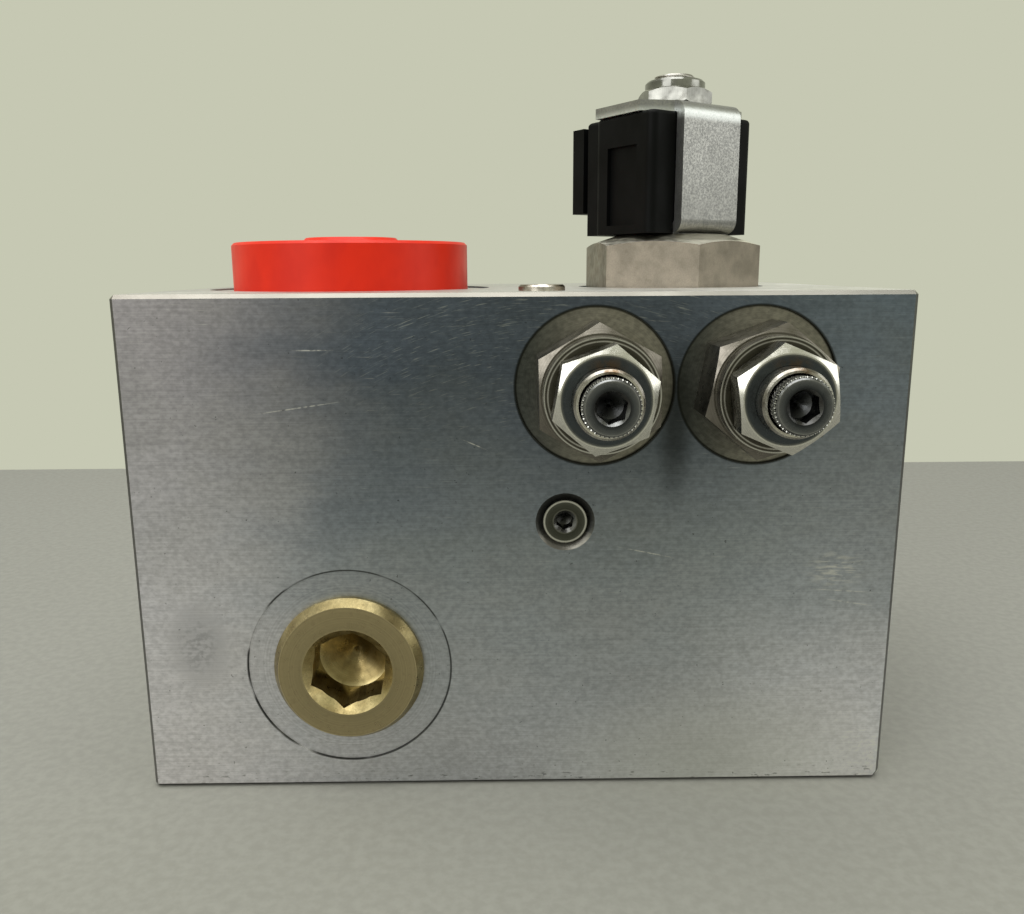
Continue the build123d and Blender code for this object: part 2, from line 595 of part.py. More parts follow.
with BuildPart() as port_plug_oring:
    seal_ring(PORT.offset(PLUG_FLOOR - PLUG_NECK_LENGTH / 2), PLUG_NECK_RADIUS, PLUG_SEAL_WIRE)
finish(port_plug_oring, "port_plug_oring")

with BuildPart() as port_cap:
    cap_floor = -CAP_PORT_SPOTFACE_DEPTH
    cap_top = cap_floor + CAP_HEAD_HEIGHT
    skirt = CAP_PORT_THREAD_D / 2
    turn(CAP, [
        (0, cap_top + CAP_HUB_HEIGHT), (CAP_HUB_D / 2, cap_top + CAP_HUB_HEIGHT),
        (CAP_HUB_D / 2 + CAP_HUB_HEIGHT, cap_top), (CAP_HEAD_D / 2 - CAP_EDGE_BREAK, cap_top),
        (CAP_HEAD_D / 2, cap_top - CAP_EDGE_BREAK),
        (CAP_HEAD_D / 2, cap_floor), (skirt, cap_floor),
        (skirt, cap_floor - CAP_SKIRT_LENGTH + CAP_LEAD_IN),
        (skirt - CAP_LEAD_IN / 2, cap_floor - CAP_SKIRT_LENGTH),
        (skirt - CAP_WALL, cap_floor - CAP_SKIRT_LENGTH),
        (skirt - CAP_WALL, cap_top - CAP_WALL), (0, cap_top - CAP_WALL),
    ])
finish(port_cap, "port_cap")

with BuildPart() as gauge_plug:
    gauge_foot = -GAUGE_SINK - GAUGE_HEAD_HEIGHT
    turn(GAUGE, [
        (0, -GAUGE_SINK), (GAUGE_HEAD_D / 2, -GAUGE_SINK), (GAUGE_HEAD_D / 2, gauge_foot),
        (GAUGE_NECK_RADIUS, gauge_foot), (GAUGE_NECK_RADIUS, gauge_floor),
        (GAUGE_THREAD_D / 2, gauge_floor), (GAUGE_THREAD_D / 2, -GAUGE_LENGTH), (0, -GAUGE_LENGTH),
    ])
    socket(GAUGE.offset(-GAUGE_SINK), GAUGE_SOCKET_AF, GAUGE_SOCKET_TURN, GAUGE_SOCKET_DEPTH,
           GAUGE_SOCKET_AF + 1.4)
finish(gauge_plug, "gauge_plug")

with BuildPart() as gauge_plug_oring:
    seal_ring(GAUGE.offset(gauge_foot - GAUGE_NECK_LENGTH / 2), GAUGE_NECK_RADIUS, GAUGE_SEAL_WIRE)
finish(gauge_plug_oring, "gauge_plug_oring")

with BuildPart() as top_plug:
    turn(TOP_PLUG, [
        (0, TOP_PLUG_HEAD_HEIGHT), (TOP_PLUG_HEAD_D / 2 - 0.4, TOP_PLUG_HEAD_HEIGHT),
        (TOP_PLUG_HEAD_D / 2, TOP_PLUG_HEAD_HEIGHT - 0.4), (TOP_PLUG_HEAD_D / 2, 0),
        (TOP_PLUG_THREAD_D / 2, 0), (TOP_PLUG_THREAD_D / 2, -TOP_PLUG_LENGTH), (0, -TOP_PLUG_LENGTH),
    ])
    socket(TOP_PLUG.offset(TOP_PLUG_HEAD_HEIGHT), TOP_PLUG_SOCKET_AF, 0, TOP_PLUG_SOCKET_DEPTH,
           TOP_PLUG_SOCKET_AF + 1.0)
finish(top_plug, "top_gallery_plug")

for name, mouth in SIDE_MOUTHS:
    side_floor = -SIDE_SPOTFACE_DEPTH
    side_top = side_floor + SIDE_HEAD_HEIGHT
    with BuildPart() as side_plug:
        turn(mouth, [
            (0, side_top), (SIDE_HEAD_D / 2 - SIDE_HEAD_BEVEL, side_top),
            (SIDE_HEAD_D / 2, side_top - SIDE_HEAD_BEVEL), (SIDE_HEAD_D / 2, side_floor),
            (SIDE_NECK_RADIUS, side_floor), (SIDE_NECK_RADIUS, side_floor - SIDE_NECK_LENGTH),
            (SIDE_THREAD_D / 2, side_floor - SIDE_NECK_LENGTH),
            (SIDE_THREAD_D / 2, -SIDE_PLUG_LENGTH), (0, -SIDE_PLUG_LENGTH),
        ])
        socket(mouth.offset(side_top), SIDE_SOCKET_AF, 15, SIDE_SOCKET_DEPTH, SIDE_SOCKET_AF + 1.8)
    finish(side_plug, name)

with BuildPart() as side_orings:
    for name, mouth in SIDE_MOUTHS:
        seal_ring(mouth.offset(-SIDE_SPOTFACE_DEPTH - SIDE_NECK_LENGTH / 2), SIDE_NECK_RADIUS, SIDE_SEAL_WIRE)
finish(side_orings, "side_plug_orings")


# --- Relief valves -----------------------------------------------------------------------------
def relief_valve(name: str, x: float, body_turn: float, nut_turn: float) -> None:
    """All pieces of one adjustable relief valve, outward from the front face."""
    axis = front(x, VALVE_Z)

    with BuildPart() as body:
        prism(axis.offset(VALVE_FLOOR), BODY_HEX_AF, body_turn, BODY_HEX_LENGTH)
        trim_corners(axis.offset(VALVE_FLOOR), BODY_HEX_AF, BODY_HEX_FACE_D, BODY_HEX_LENGTH)
        groove = BODY_COLLAR_D / 2 - BODY_GROOVE_DEPTH
        low_groove = BODY_HEX_TOP + BODY_COLLAR_LENGTH / 3 - BODY_GROOVE_WIDTH / 2
        high_groove = low_groove + BODY_COLLAR_LENGTH / 3
        turn(axis, [
            (0, BODY_TOP), (BODY_COLLAR_D / 2, BODY_TOP),
            (BODY_COLLAR_D / 2, high_groove + BODY_GROOVE_WIDTH), (groove, high_groove + BODY_GROOVE_WIDTH),
            (groove, high_groove), (BODY_COLLAR_D / 2, high_groove),
            (BODY_COLLAR_D / 2, low_groove + BODY_GROOVE_WIDTH), (groove, low_groove + BODY_GROOVE_WIDTH),
            (groove, low_groove), (BODY_COLLAR_D / 2, low_groove),
            (BODY_COLLAR_D / 2, BODY_HEX_TOP), (0, BODY_HEX_TOP),
        ])
        turn(axis, [
            (0, VALVE_FLOOR), (BODY_NECK_RADIUS, VALVE_FLOOR),
            (BODY_NECK_RADIUS, VALVE_FLOOR - BODY_NECK_LENGTH),
            (BODY_THREAD_D / 2, VALVE_FLOOR - BODY_NECK_LENGTH), (BODY_THREAD_D / 2, BODY_THREAD_END),
            (CAGE_D / 2, BODY_THREAD_END), (CAGE_D / 2, BODY_END), (0, BODY_END),
        ])
        turn(axis, [
            (0, BODY_TOP), (STEM_D / 2 + FIT, BODY_TOP), (STEM_D / 2 + FIT, STEM_FOOT),
            (BODY_CHAMBER_D / 2, STEM_FOOT), (BODY_CHAMBER_D / 2, BODY_END), (0, BODY_END),
        ], mode=Mode.SUBTRACT)
    finish(body, f"{name}_valve_body")

    with BuildPart() as body_oring:
        seal_ring(axis.offset(VALVE_FLOOR - BODY_NECK_LENGTH / 2), BODY_NECK_RADIUS, BODY_SEAL_WIRE)
    finish(body_oring, f"{name}_body_oring")

    with BuildPart() as cage:
        groove_foot = CAGE_GROOVE_TOP - CAGE_GROOVE_WIDTH
        turn(axis, [
            (POPPET_D / 2 + SLIDE_FIT, BODY_END), (CAGE_D / 2, BODY_END), (CAGE_D / 2, CAGE_SHOULDER),
            (CAGE_NOSE_D / 2, CAGE_SHOULDER), (CAGE_NOSE_D / 2, CAGE_GROOVE_TOP),
            (CAGE_GROOVE_RADIUS - SEAL_FIT, CAGE_GROOVE_TOP), (CAGE_GROOVE_RADIUS - SEAL_FIT, groove_foot),
            (CAGE_NOSE_D / 2, groove_foot), (CAGE_NOSE_D / 2, CAGE_END + 0.5),
            (CAGE_NOSE_D / 2 - 0.5, CAGE_END), (CAGE_SEAT_D / 2, CAGE_END),
            (CAGE_SEAT_D / 2, CAGE_SEAT_FACE), (POPPET_D / 2 + SLIDE_FIT, CAGE_SEAT_FACE),
        ])
        with Locations(axis.offset(CAGE_PORT_PLACE)):
            with PolarLocations(0, CAGE_PORT_COUNT // 2, angular_range=180):
                Cylinder(CAGE_PORT_D / 2, CAGE_D + 2, rotation=(0, 90, 0), mode=Mode.SUBTRACT)
    finish(cage, f"{name}_cage")

    with BuildPart() as cage_oring:
        seal_ring(axis.offset(CAGE_GROOVE_TOP - CAGE_GROOVE_WIDTH / 2),
                  CAGE_GROOVE_RADIUS - SEAL_FIT, CAGE_SEAL_WIRE)
    finish(cage_oring, f"{name}_cage_oring")

    with BuildPart() as poppet:
        turn(axis, [
            (0, POPPET_BACK + SPRING_PILOT_LENGTH), (SPRING_PILOT_D / 2, POPPET_BACK + SPRING_PILOT_LENGTH),
            (SPRING_PILOT_D / 2, POPPET_BACK), (POPPET_D / 2, POPPET_BACK),
            (POPPET_D / 2, POPPET_CONE_TOP), (POPPET_TIP_D / 2, POPPET_CONE_TOP - POPPET_CONE_LENGTH),
            (0, POPPET_CONE_TOP - POPPET_CONE_LENGTH),
        ])
    finish(poppet, f"{name}_poppet")

    with BuildPart() as spring:
        coil_spring(axis.offset(POPPET_BACK), SPRING_D, SPRING_WIRE, SPRING_TURNS, SEAT_FOOT - POPPET_BACK)
    finish(spring, f"{name}_spring")

    with BuildPart() as spring_seat:
        turn(axis, [
            (0, SEAT_TOP), (SEAT_D / 2, SEAT_TOP), (SEAT_D / 2, SEAT_FOOT),
            (SPRING_PILOT_D / 2, SEAT_FOOT), (SPRING_PILOT_D / 2, SEAT_FOOT - SPRING_PILOT_LENGTH),
            (0, SEAT_FOOT - SPRING_PILOT_LENGTH),
        ])
    finish(spring_seat, f"{name}_spring_seat")

    with BuildPart() as stem:
        thread_top = STEM_FOOT + STEM_THREAD_LENGTH
        thread = SCREW_THREAD_D / 2 + SLIDE_FIT / 2
        turn(axis, [
            (thread, STEM_FOOT), (STEM_D / 2, STEM_FOOT), (STEM_D / 2, STEM_TOP - 0.4),
            (STEM_D / 2 - 0.4, STEM_TOP), (STEM_MOUTH_D / 2, STEM_TOP),
            (STEM_MOUTH_D / 2, thread_top), (thread, thread_top),
        ])
    finish(stem, f"{name}_stem")

    with BuildPart() as lock_nut:
        prism(axis.offset(BODY_TOP), NUT_AF, nut_turn, NUT_THICKNESS)
        trim_corners(axis.offset(BODY_TOP), NUT_AF, NUT_FACE_D, NUT_THICKNESS, both=True)
        turn(axis, [
            (0, BODY_TOP), (STEM_D / 2 + FIT, BODY_TOP), (STEM_D / 2 + FIT, NUT_TOP), (0, NUT_TOP),
        ], mode=Mode.SUBTRACT)
    finish(lock_nut, f"{name}_lock_nut")

    with BuildPart() as screw:
        turn(axis, [
            (0, SCREW_FACE), (SCREW_HEAD_D / 2 - SCREW_BEVEL, SCREW_FACE),
            (SCREW_HEAD_D / 2, SCREW_FACE - SCREW_BEVEL), (SCREW_HEAD_D / 2, SCREW_HEAD_FOOT),
            (SCREW_THREAD_D / 2, SCREW_HEAD_FOOT), (SCREW_THREAD_D / 2, SEAT_TOP), (0, SEAT_TOP),
        ])
        socket(axis.offset(SCREW_FACE), SCREW_SOCKET_AF, nut_turn, SCREW_SOCKET_DEPTH, SCREW_COUNTERSINK_D)
    finish(screw, f"{name}_adjusting_screw")


relief_valve("left", VALVE_LEFT_X, LEFT_BODY_TURN, LEFT_NUT_TURN)
relief_valve("right", VALVE_RIGHT_X, RIGHT_BODY_TURN, RIGHT_NUT_TURN)


# --- Solenoid valve: cartridge in the block ---------------------------------------------------
with BuildPart() as cartridge:
    prism(SOLENOID.offset(HEX_FLOOR), SOLENOID_HEX_AF, SOLENOID_HEX_TURN, SOLENOID_HEX_HEIGHT)
    trim_corners(SOLENOID.offset(HEX_FLOOR), SOLENOID_HEX_AF, SOLENOID_HEX_FACE_D, SOLENOID_HEX_HEIGHT,
                 angle=SOLENOID_HEX_CHAMFER)
    turn(SOLENOID, [
        (0, HEX_FLOOR), (SOLENOID_NECK_RADIUS, HEX_FLOOR),
        (SOLENOID_NECK_RADIUS, HEX_FLOOR - SOLENOID_NECK_LENGTH),
        (SOLENOID_THREAD_D / 2, HEX_FLOOR - SOLENOID_NECK_LENGTH),
        (SOLENOID_THREAD_D / 2, SOLENOID_THREAD_END), (0, SOLENOID_THREAD_END),
    ])
    turn(SOLENOID, [
        (0, HEX_TOP), (TUBE_D / 2 + FIT, HEX_TOP), (TUBE_D / 2 + FIT, TUBE_FOOT),
        (PUSH_ROD_D / 2 + SLIDE_FIT, TUBE_FOOT), (PUSH_ROD_D / 2 + SLIDE_FIT, SOLENOID_THREAD_END),
        (0, SOLENOID_THREAD_END),
    ], mode=Mode.SUBTRACT)
finish(cartridge, "cartridge_body")

with BuildPart() as cartridge_oring:
    seal_ring(SOLENOID.offset(HEX_FLOOR - SOLENOID_NECK_LENGTH / 2), SOLENOID_NECK_RADIUS, SOLENOID_SEAL_WIRE)
finish(cartridge_oring, "cartridge_oring")

seal_groove = SOLENOID_CAGE_SEAL_WIRE + 2 * SEAL_FIT
upper_groove_top = SOLENOID_THREAD_END - 2.5
lower_groove_top = SOLENOID_SHOULDER - 2.5
upper_groove_radius = SOLENOID_CAGE_D / 2 - SOLENOID_CAGE_SEAL_WIRE - SEAL_FIT
lower_groove_radius = SOLENOID_NOSE_D / 2 - SOLENOID_CAGE_SEAL_WIRE - SEAL_FIT
with BuildPart() as valve_cage:
    turn(SOLENOID, [
        (SPOOL_D / 2 + SLIDE_FIT, SOLENOID_THREAD_END), (SOLENOID_CAGE_D / 2, SOLENOID_THREAD_END),
        (SOLENOID_CAGE_D / 2, upper_groove_top), (upper_groove_radius - SEAL_FIT, upper_groove_top),
        (upper_groove_radius - SEAL_FIT, upper_groove_top - seal_groove),
        (SOLENOID_CAGE_D / 2, upper_groove_top - seal_groove), (SOLENOID_CAGE_D / 2, SOLENOID_SHOULDER),
        (SOLENOID_NOSE_D / 2, SOLENOID_SHOULDER), (SOLENOID_NOSE_D / 2, lower_groove_top),
        (lower_groove_radius - SEAL_FIT, lower_groove_top),
        (lower_groove_radius - SEAL_FIT, lower_groove_top - seal_groove),
        (SOLENOID_NOSE_D / 2, lower_groove_top - seal_groove), (SOLENOID_NOSE_D / 2, SOLENOID_END),
        (SOLENOID_NOSE_HOLE_D / 2, SOLENOID_END), (SOLENOID_NOSE_HOLE_D / 2, SPOOL_END),
        (SPOOL_D / 2 + SLIDE_FIT, SPOOL_END),
    ])
    with Locations(SOLENOID.offset(SOLENOID_SHOULDER + SOLENOID_CAGE_PORT_D)):
        with PolarLocations(0, SOLENOID_CAGE_PORT_COUNT // 2, angular_range=180):
            Cylinder(SOLENOID_CAGE_PORT_D / 2, SOLENOID_CAGE_D + 2, rotation=(0, 90, 0), mode=Mode.SUBTRACT)
finish(valve_cage, "valve_cage")

with BuildPart() as cage_orings:
    seal_ring(SOLENOID.offset(upper_groove_top - seal_groove / 2), upper_groove_radius - SEAL_FIT,
              SOLENOID_CAGE_SEAL_WIRE)
    seal_ring(SOLENOID.offset(lower_groove_top - seal_groove / 2), lower_groove_radius - SEAL_FIT,
              SOLENOID_CAGE_SEAL_WIRE)
finish(cage_orings, "valve_cage_orings")

with BuildPart() as spool:
    turn(SOLENOID, [
        (0, SPOOL_TOP), (SPOOL_D / 2, SPOOL_TOP), (SPOOL_D / 2, SPOOL_TOP - SPOOL_LAND_LENGTH),
        (SPOOL_NECK_D / 2, SPOOL_TOP - SPOOL_LAND_LENGTH), (SPOOL_NECK_D / 2, SPOOL_END + SPOOL_LAND_LENGTH),
        (SPOOL_D / 2, SPOOL_END + SPOOL_LAND_LENGTH), (SPOOL_D / 2, SPOOL_END), (0, SPOOL_END),
    ])
finish(spool, "spool")

with BuildPart() as core_tube:
    turn(SOLENOID, [
        (TUBE_BORE_D / 2, TUBE_FOOT), (TUBE_D / 2, TUBE_FOOT), (TUBE_D / 2, TUBE_TOP),
        (STUD_D / 2, TUBE_TOP), (STUD_D / 2, STUD_TOP - 0.6), (STUD_D / 2 - 0.6, STUD_TOP),
        (0, STUD_TOP), (0, TUBE_ROOF), (TUBE_BORE_D / 2, TUBE_ROOF),
    ])
finish(core_tube, "core_tube")

with BuildPart() as pole_piece:
    pocket = SPRING_POCKET_D / 2
    turn(SOLENOID, [
        (0, TUBE_ROOF), (TUBE_BORE_D / 2 - FIT, TUBE_ROOF), (TUBE_BORE_D / 2 - FIT, POLE_FOOT),
        (pocket, POLE_FOOT), (pocket, POLE_FOOT + SPRING_POCKET_DEPTH), (0, POLE_FOOT + SPRING_POCKET_DEPTH),
    ])
finish(pole_piece, "pole_piece")

with BuildPart() as plunger:
    turn(SOLENOID, [
        (0, PLUNGER_TOP - SPRING_POCKET_DEPTH), (pocket, PLUNGER_TOP - SPRING_POCKET_DEPTH),
        (pocket, PLUNGER_TOP), (TUBE_BORE_D / 2 - SLIDE_FIT, PLUNGER_TOP),
        (TUBE_BORE_D / 2 - SLIDE_FIT, PLUNGER_FOOT), (PUSH_ROD_D / 2, PLUNGER_FOOT),
        (PUSH_ROD_D / 2, SPOOL_TOP), (0, SPOOL_TOP),
    ])
finish(plunger, "plunger")

with BuildPart() as plunger_spring:
    coil_spring(SOLENOID.offset(PLUNGER_TOP - SPRING_POCKET_DEPTH), RETURN_SPRING_D, RETURN_SPRING_WIRE,
                RETURN_SPRING_TURNS, 2 * SPRING_POCKET_DEPTH + PLUNGER_GAP)
finish(plunger_spring, "plunger_spring")


# --- Solenoid valve: coil -----------------------------------------------------------------------
tube_hole = TUBE_D / 2 + COIL_FIT
winding_low = (COIL_HEIGHT - BOBBIN_LENGTH) / 2
connector_low = CONNECTOR_LOW
connector_middle = (CONNECTOR_LEFT + CONNECTOR_RIGHT) / 2
connector_width = CONNECTOR_RIGHT - CONNECTOR_LEFT
connector_length = CONNECTOR_REACH - COIL_BACK
with BuildPart() as coil_body:
    # Moulded shell round the winding
    with BuildSketch(coil_plane(COIL_FOOT)):
        with Locations((0, (COIL_SHOULDER - COIL_FRONT) / 2)):
            RectangleRounded(2 * COIL_HALF_WIDTH, COIL_FRONT + COIL_SHOULDER, COIL_CORNER_RADIUS)
        with Locations((0, COIL_BACK / 2)):
            Rectangle(2 * COIL_REAR_HALF_WIDTH, COIL_BACK)
    extrude(amount=COIL_HEIGHT)
    fillet(coil_body.faces().sort_by(Axis.Z)[-1].edges(), radius=COIL_TOP_RADIUS)
    # Connector housing behind, with its neck and its open pocket
    with BuildSketch(coil_plane(COIL_FOOT + connector_low)):
        with Locations((connector_middle, (COIL_BACK + CONNECTOR_REACH) / 2 - 1)):
            Rectangle(connector_width, connector_length + 2)
    extrude(amount=CONNECTOR_HEIGHT)
    neck_end = CONNECTOR_REACH - CONNECTOR_RIM
    with BuildSketch(coil_plane(COIL_FOOT + connector_low)):
        with Locations((connector_middle, neck_end - CONNECTOR_NECK_LENGTH / 2)):
            Rectangle(connector_width + 2, CONNECTOR_NECK_LENGTH)
            Rectangle(connector_width - 2 * CONNECTOR_NECK_DEPTH, CONNECTOR_NECK_LENGTH, mode=Mode.SUBTRACT)
    extrude(amount=CONNECTOR_HEIGHT, mode=Mode.SUBTRACT)
    with BuildSketch(coil_plane(COIL_FOOT + connector_low + CONNECTOR_WALL)):
        with Locations((connector_middle, CONNECTOR_REACH - CONNECTOR_POCKET_DEPTH / 2)):
            Rectangle(connector_width - 2 * (CONNECTOR_WALL + CONNECTOR_NECK_DEPTH), CONNECTOR_POCKET_DEPTH)
    extrude(amount=CONNECTOR_HEIGHT - 2 * CONNECTOR_WALL, mode=Mode.SUBTRACT)
    # Recess for the frame's foot, tube hole and winding space
    with BuildSketch(coil_plane(COIL_FOOT)):
        with Locations((0, (FRAME_TOP_BACK + FRAME_GAP - COIL_FRONT) / 2)):
            Rectangle(2 * (FRAME_LEG_HALF_WIDTH + FRAME_GAP), COIL_FRONT + FRAME_TOP_BACK + FRAME_GAP)
    extrude(amount=FRAME_THICKNESS + FRAME_GAP, mode=Mode.SUBTRACT)
    with BuildSketch(coil_plane(COIL_FOOT)):
        Circle(tube_hole)
    extrude(amount=COIL_HEIGHT, mode=Mode.SUBTRACT)
    with BuildSketch(coil_plane(COIL_FOOT + winding_low)):
        Circle(BOBBIN_FLANGE_D / 2 + FIT)
    extrude(amount=BOBBIN_LENGTH, mode=Mode.SUBTRACT)
    # Shallow panel on the left flank
    with BuildSketch(coil_plane(COIL_FOOT + PANEL_LOW)):
        with Locations((-COIL_HALF_WIDTH + PANEL_DEPTH / 2, 0)):
            Rectangle(PANEL_DEPTH, 2 * PANEL_HALF_WIDTH)
    extrude(amount=PANEL_HEIGHT, mode=Mode.SUBTRACT)
    # Slots for the roots of the two terminals
    with BuildSketch(coil_plane(COIL_FOOT + connector_low + CONNECTOR_HEIGHT / 2 - TERMINAL_THICKNESS / 2 - FIT)):
        with Locations((connector_middle, CONNECTOR_REACH - CONNECTOR_POCKET_DEPTH)):
            with GridLocations(TERMINAL_PITCH, 1, 2, 1):
                Rectangle(TERMINAL_WIDTH + 2 * FIT, 2 * TERMINAL_ROOT)
    extrude(amount=TERMINAL_THICKNESS + 2 * FIT, mode=Mode.SUBTRACT)
finish(coil_body, "coil_body")

with BuildPart() as terminals:
    with BuildSketch(coil_plane(COIL_FOOT + connector_low + CONNECTOR_HEIGHT / 2 - TERMINAL_THICKNESS / 2)):
        terminal_middle = CONNECTOR_REACH - CONNECTOR_POCKET_DEPTH - TERMINAL_ROOT + TERMINAL_LENGTH / 2
        with Locations((connector_middle, terminal_middle)):
            with GridLocations(TERMINAL_PITCH, 1, 2, 1):
                Rectangle(TERMINAL_WIDTH, TERMINAL_LENGTH)
    extrude(amount=TERMINAL_THICKNESS)
finish(terminals, "coil_terminals")

bobbin_inner = tube_hole
with BuildPart() as bobbin:
    bobbin_seat = coil_plane(COIL_FOOT + winding_low)
    barrel = bobbin_inner + BOBBIN_WALL
    turn(bobbin_seat, [
        (bobbin_inner, 0), (BOBBIN_FLANGE_D / 2, 0), (BOBBIN_FLANGE_D / 2, BOBBIN_FLANGE_THICKNESS),
        (barrel, BOBBIN_FLANGE_THICKNESS), (barrel, BOBBIN_LENGTH - BOBBIN_FLANGE_THICKNESS),
        (BOBBIN_FLANGE_D / 2, BOBBIN_LENGTH - BOBBIN_FLANGE_THICKNESS),
        (BOBBIN_FLANGE_D / 2, BOBBIN_LENGTH), (bobbin_inner, BOBBIN_LENGTH),
    ])
finish(bobbin, "coil_bobbin")

with BuildPart() as winding:
    turn(bobbin_seat.offset(BOBBIN_FLANGE_THICKNESS), [
        (barrel + FIT, 0), (BOBBIN_FLANGE_D / 2 - 0.3, 0),
        (BOBBIN_FLANGE_D / 2 - 0.3, BOBBIN_LENGTH - 2 * BOBBIN_FLANGE_THICKNESS),
        (barrel + FIT, BOBBIN_LENGTH - 2 * BOBBIN_FLANGE_THICKNESS),
    ])
finish(winding, "coil_winding")

frame_face = COIL_FRONT + FRAME_GAP
frame_outer = frame_face + FRAME_THICKNESS
with BuildPart() as frame:
    # Folded strip: leg down the front, foot and top tongue
    strip_side = Plane(origin=coil_plane(COIL_FOOT).origin, x_dir=COIL_N,
                       z_dir=(-COIL_U[0], -COIL_U[1], 0))
    fold_top = COIL_HEIGHT + FRAME_THICKNESS
    with BuildSketch(strip_side) as strip:
        with BuildLine():
            Polyline(
                (0, 0), (frame_outer, 0), (frame_outer, fold_top), (0, fold_top),
                (0, COIL_HEIGHT), (frame_face, COIL_HEIGHT), (frame_face, FRAME_THICKNESS),
                (0, FRAME_THICKNESS), close=True)
        make_face()
        fillet(strip.vertices().filter_by(
            lambda corner: abs(corner.X - frame_outer) < 0.01), radius=FRAME_BEND_RADIUS)
        fillet(strip.vertices().filter_by(
            lambda corner: abs(corner.X - frame_face) < 0.01), radius=FRAME_BEND_RADIUS - FRAME_THICKNESS)
    extrude(amount=FRAME_LEG_HALF_WIDTH, both=True)
    # Wide top plate with tapered front corners
    with BuildSketch(coil_plane(COIL_TOP)):
        with BuildLine():
            Polyline(
                (-FRAME_TOP_HALF_WIDTH, FRAME_TOP_BACK), (FRAME_TOP_HALF_WIDTH, FRAME_TOP_BACK),
                (FRAME_TOP_HALF_WIDTH, FRAME_TOP_TAPER - COIL_FRONT),
                (FRAME_LEG_HALF_WIDTH, -COIL_FRONT + FRAME_BEND_RADIUS - FRAME_THICKNESS),
                (-FRAME_LEG_HALF_WIDTH, -COIL_FRONT + FRAME_BEND_RADIUS - FRAME_THICKNESS),
                (-FRAME_TOP_HALF_WIDTH, FRAME_TOP_TAPER - COIL_FRONT), close=True)
        make_face()
    extrude(amount=FRAME_THICKNESS)
    # Foot plate under the coil
    with BuildSketch(coil_plane(COIL_FOOT)):
        with Locations((0, (FRAME_TOP_BACK - COIL_FRONT) / 2)):
            Rectangle(2 * FRAME_LEG_HALF_WIDTH, COIL_FRONT + FRAME_TOP_BACK)
    extrude(amount=FRAME_THICKNESS)
    with BuildSketch(coil_plane(COIL_FOOT)):
        Circle(tube_hole)
    extrude(amount=FRAME_THICKNESS, mode=Mode.SUBTRACT)
    with BuildSketch(coil_plane(COIL_TOP)):
        Circle(FRAME_STUD_HOLE_D / 2)
    extrude(amount=FRAME_THICKNESS, mode=Mode.SUBTRACT)
finish(frame, "coil_frame")

with BuildPart() as coil_nut:
    nut_seat = SOLENOID.offset(FRAME_TOP)
    prism(nut_seat, COIL_NUT_AF, COIL_NUT_TURN, COIL_NUT_HEX_HEIGHT)
    trim_corners(nut_seat, COIL_NUT_AF, COIL_NUT_FACE_D, COIL_NUT_HEX_HEIGHT, both=True)
    collar_top = COIL_NUT_HEX_HEIGHT + COIL_NUT_COLLAR_HEIGHT
    turn(nut_seat, [
        (0, COIL_NUT_HEX_HEIGHT), (COIL_NUT_COLLAR_D / 2, COIL_NUT_HEX_HEIGHT),
        (COIL_NUT_COLLAR_D / 2, collar_top - 0.5), (COIL_NUT_COLLAR_D / 2 - 0.5, collar_top), (0, collar_top),
    ])
    turn(nut_seat, [(0, 0), (STUD_D / 2 + FIT, 0), (STUD_D / 2 + FIT, collar_top), (0, collar_top)],
         mode=Mode.SUBTRACT)
finish(coil_nut, "coil_nut")
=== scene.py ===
import logging
import math
from dataclasses import dataclass, field
from enum import Enum

import bpy
from mathutils import Matrix, Vector


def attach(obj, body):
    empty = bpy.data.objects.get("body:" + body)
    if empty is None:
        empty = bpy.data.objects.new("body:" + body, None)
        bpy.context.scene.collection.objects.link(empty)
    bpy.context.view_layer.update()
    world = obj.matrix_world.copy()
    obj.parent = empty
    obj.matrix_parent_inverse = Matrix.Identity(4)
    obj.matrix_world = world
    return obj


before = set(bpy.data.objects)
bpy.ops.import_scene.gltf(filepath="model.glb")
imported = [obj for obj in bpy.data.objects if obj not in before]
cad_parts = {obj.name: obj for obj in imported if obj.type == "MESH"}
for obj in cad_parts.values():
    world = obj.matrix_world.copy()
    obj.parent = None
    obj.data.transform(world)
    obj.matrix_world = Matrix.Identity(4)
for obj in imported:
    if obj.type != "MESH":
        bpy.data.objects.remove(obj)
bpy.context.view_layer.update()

LOG = logging.getLogger("manifold")

MM = 0.001
# Half size, in millimetres, of a pattern that reaches through the whole object.
THROUGH = 400.0

Point = tuple[float, float, float]
Stops = tuple[tuple[float, str], ...]
Tree = bpy.types.NodeTree
Socket = bpy.types.NodeSocket
Finish = bpy.types.Material

# Turns an upright piece so that its top points to the front.
LAID_FORWARD = Matrix.Rotation(math.radians(90), 4, "X")


class TurningAxis(Enum):
    """Axis about which a piece was turned."""

    ALONG_X = 0
    ALONG_Y = 1
    ALONG_Z = 2


def linear(hex_colour: str) -> tuple[float, float, float, float]:
    """Turn an sRGB hex colour to linear RGBA.

    Args:
        hex_colour: six hex digits with a leading hash.

    Returns:
        The linear red, green, blue and an alpha of one.
    """
    parts = [int(hex_colour[i:i + 2], 16) / 255 for i in (1, 3, 5)]
    red, green, blue = [p / 12.92 if p <= 0.04045 else ((p + 0.055) / 1.055) ** 2.4 for p in parts]
    return (red, green, blue, 1.0)


def add_node(tree: Tree, kind: str, settings: dict | None = None,
             inputs: dict | None = None) -> bpy.types.Node:
    """Add a node with its settings and links.

    Args:
        tree: node tree to add to.
        kind: Blender's type name of the node.
        settings: attribute names and their values.
        inputs: socket names or numbers, each with a constant or the socket that feeds it.

    Returns:
        The new node.
    """
    node = tree.nodes.new(kind)
    for name, value in (settings or {}).items():
        setattr(node, name, value)
    for key, value in (inputs or {}).items():
        if isinstance(value, Socket):
            tree.links.new(value, node.inputs[key])
        else:
            node.inputs[key].default_value = value
    return node


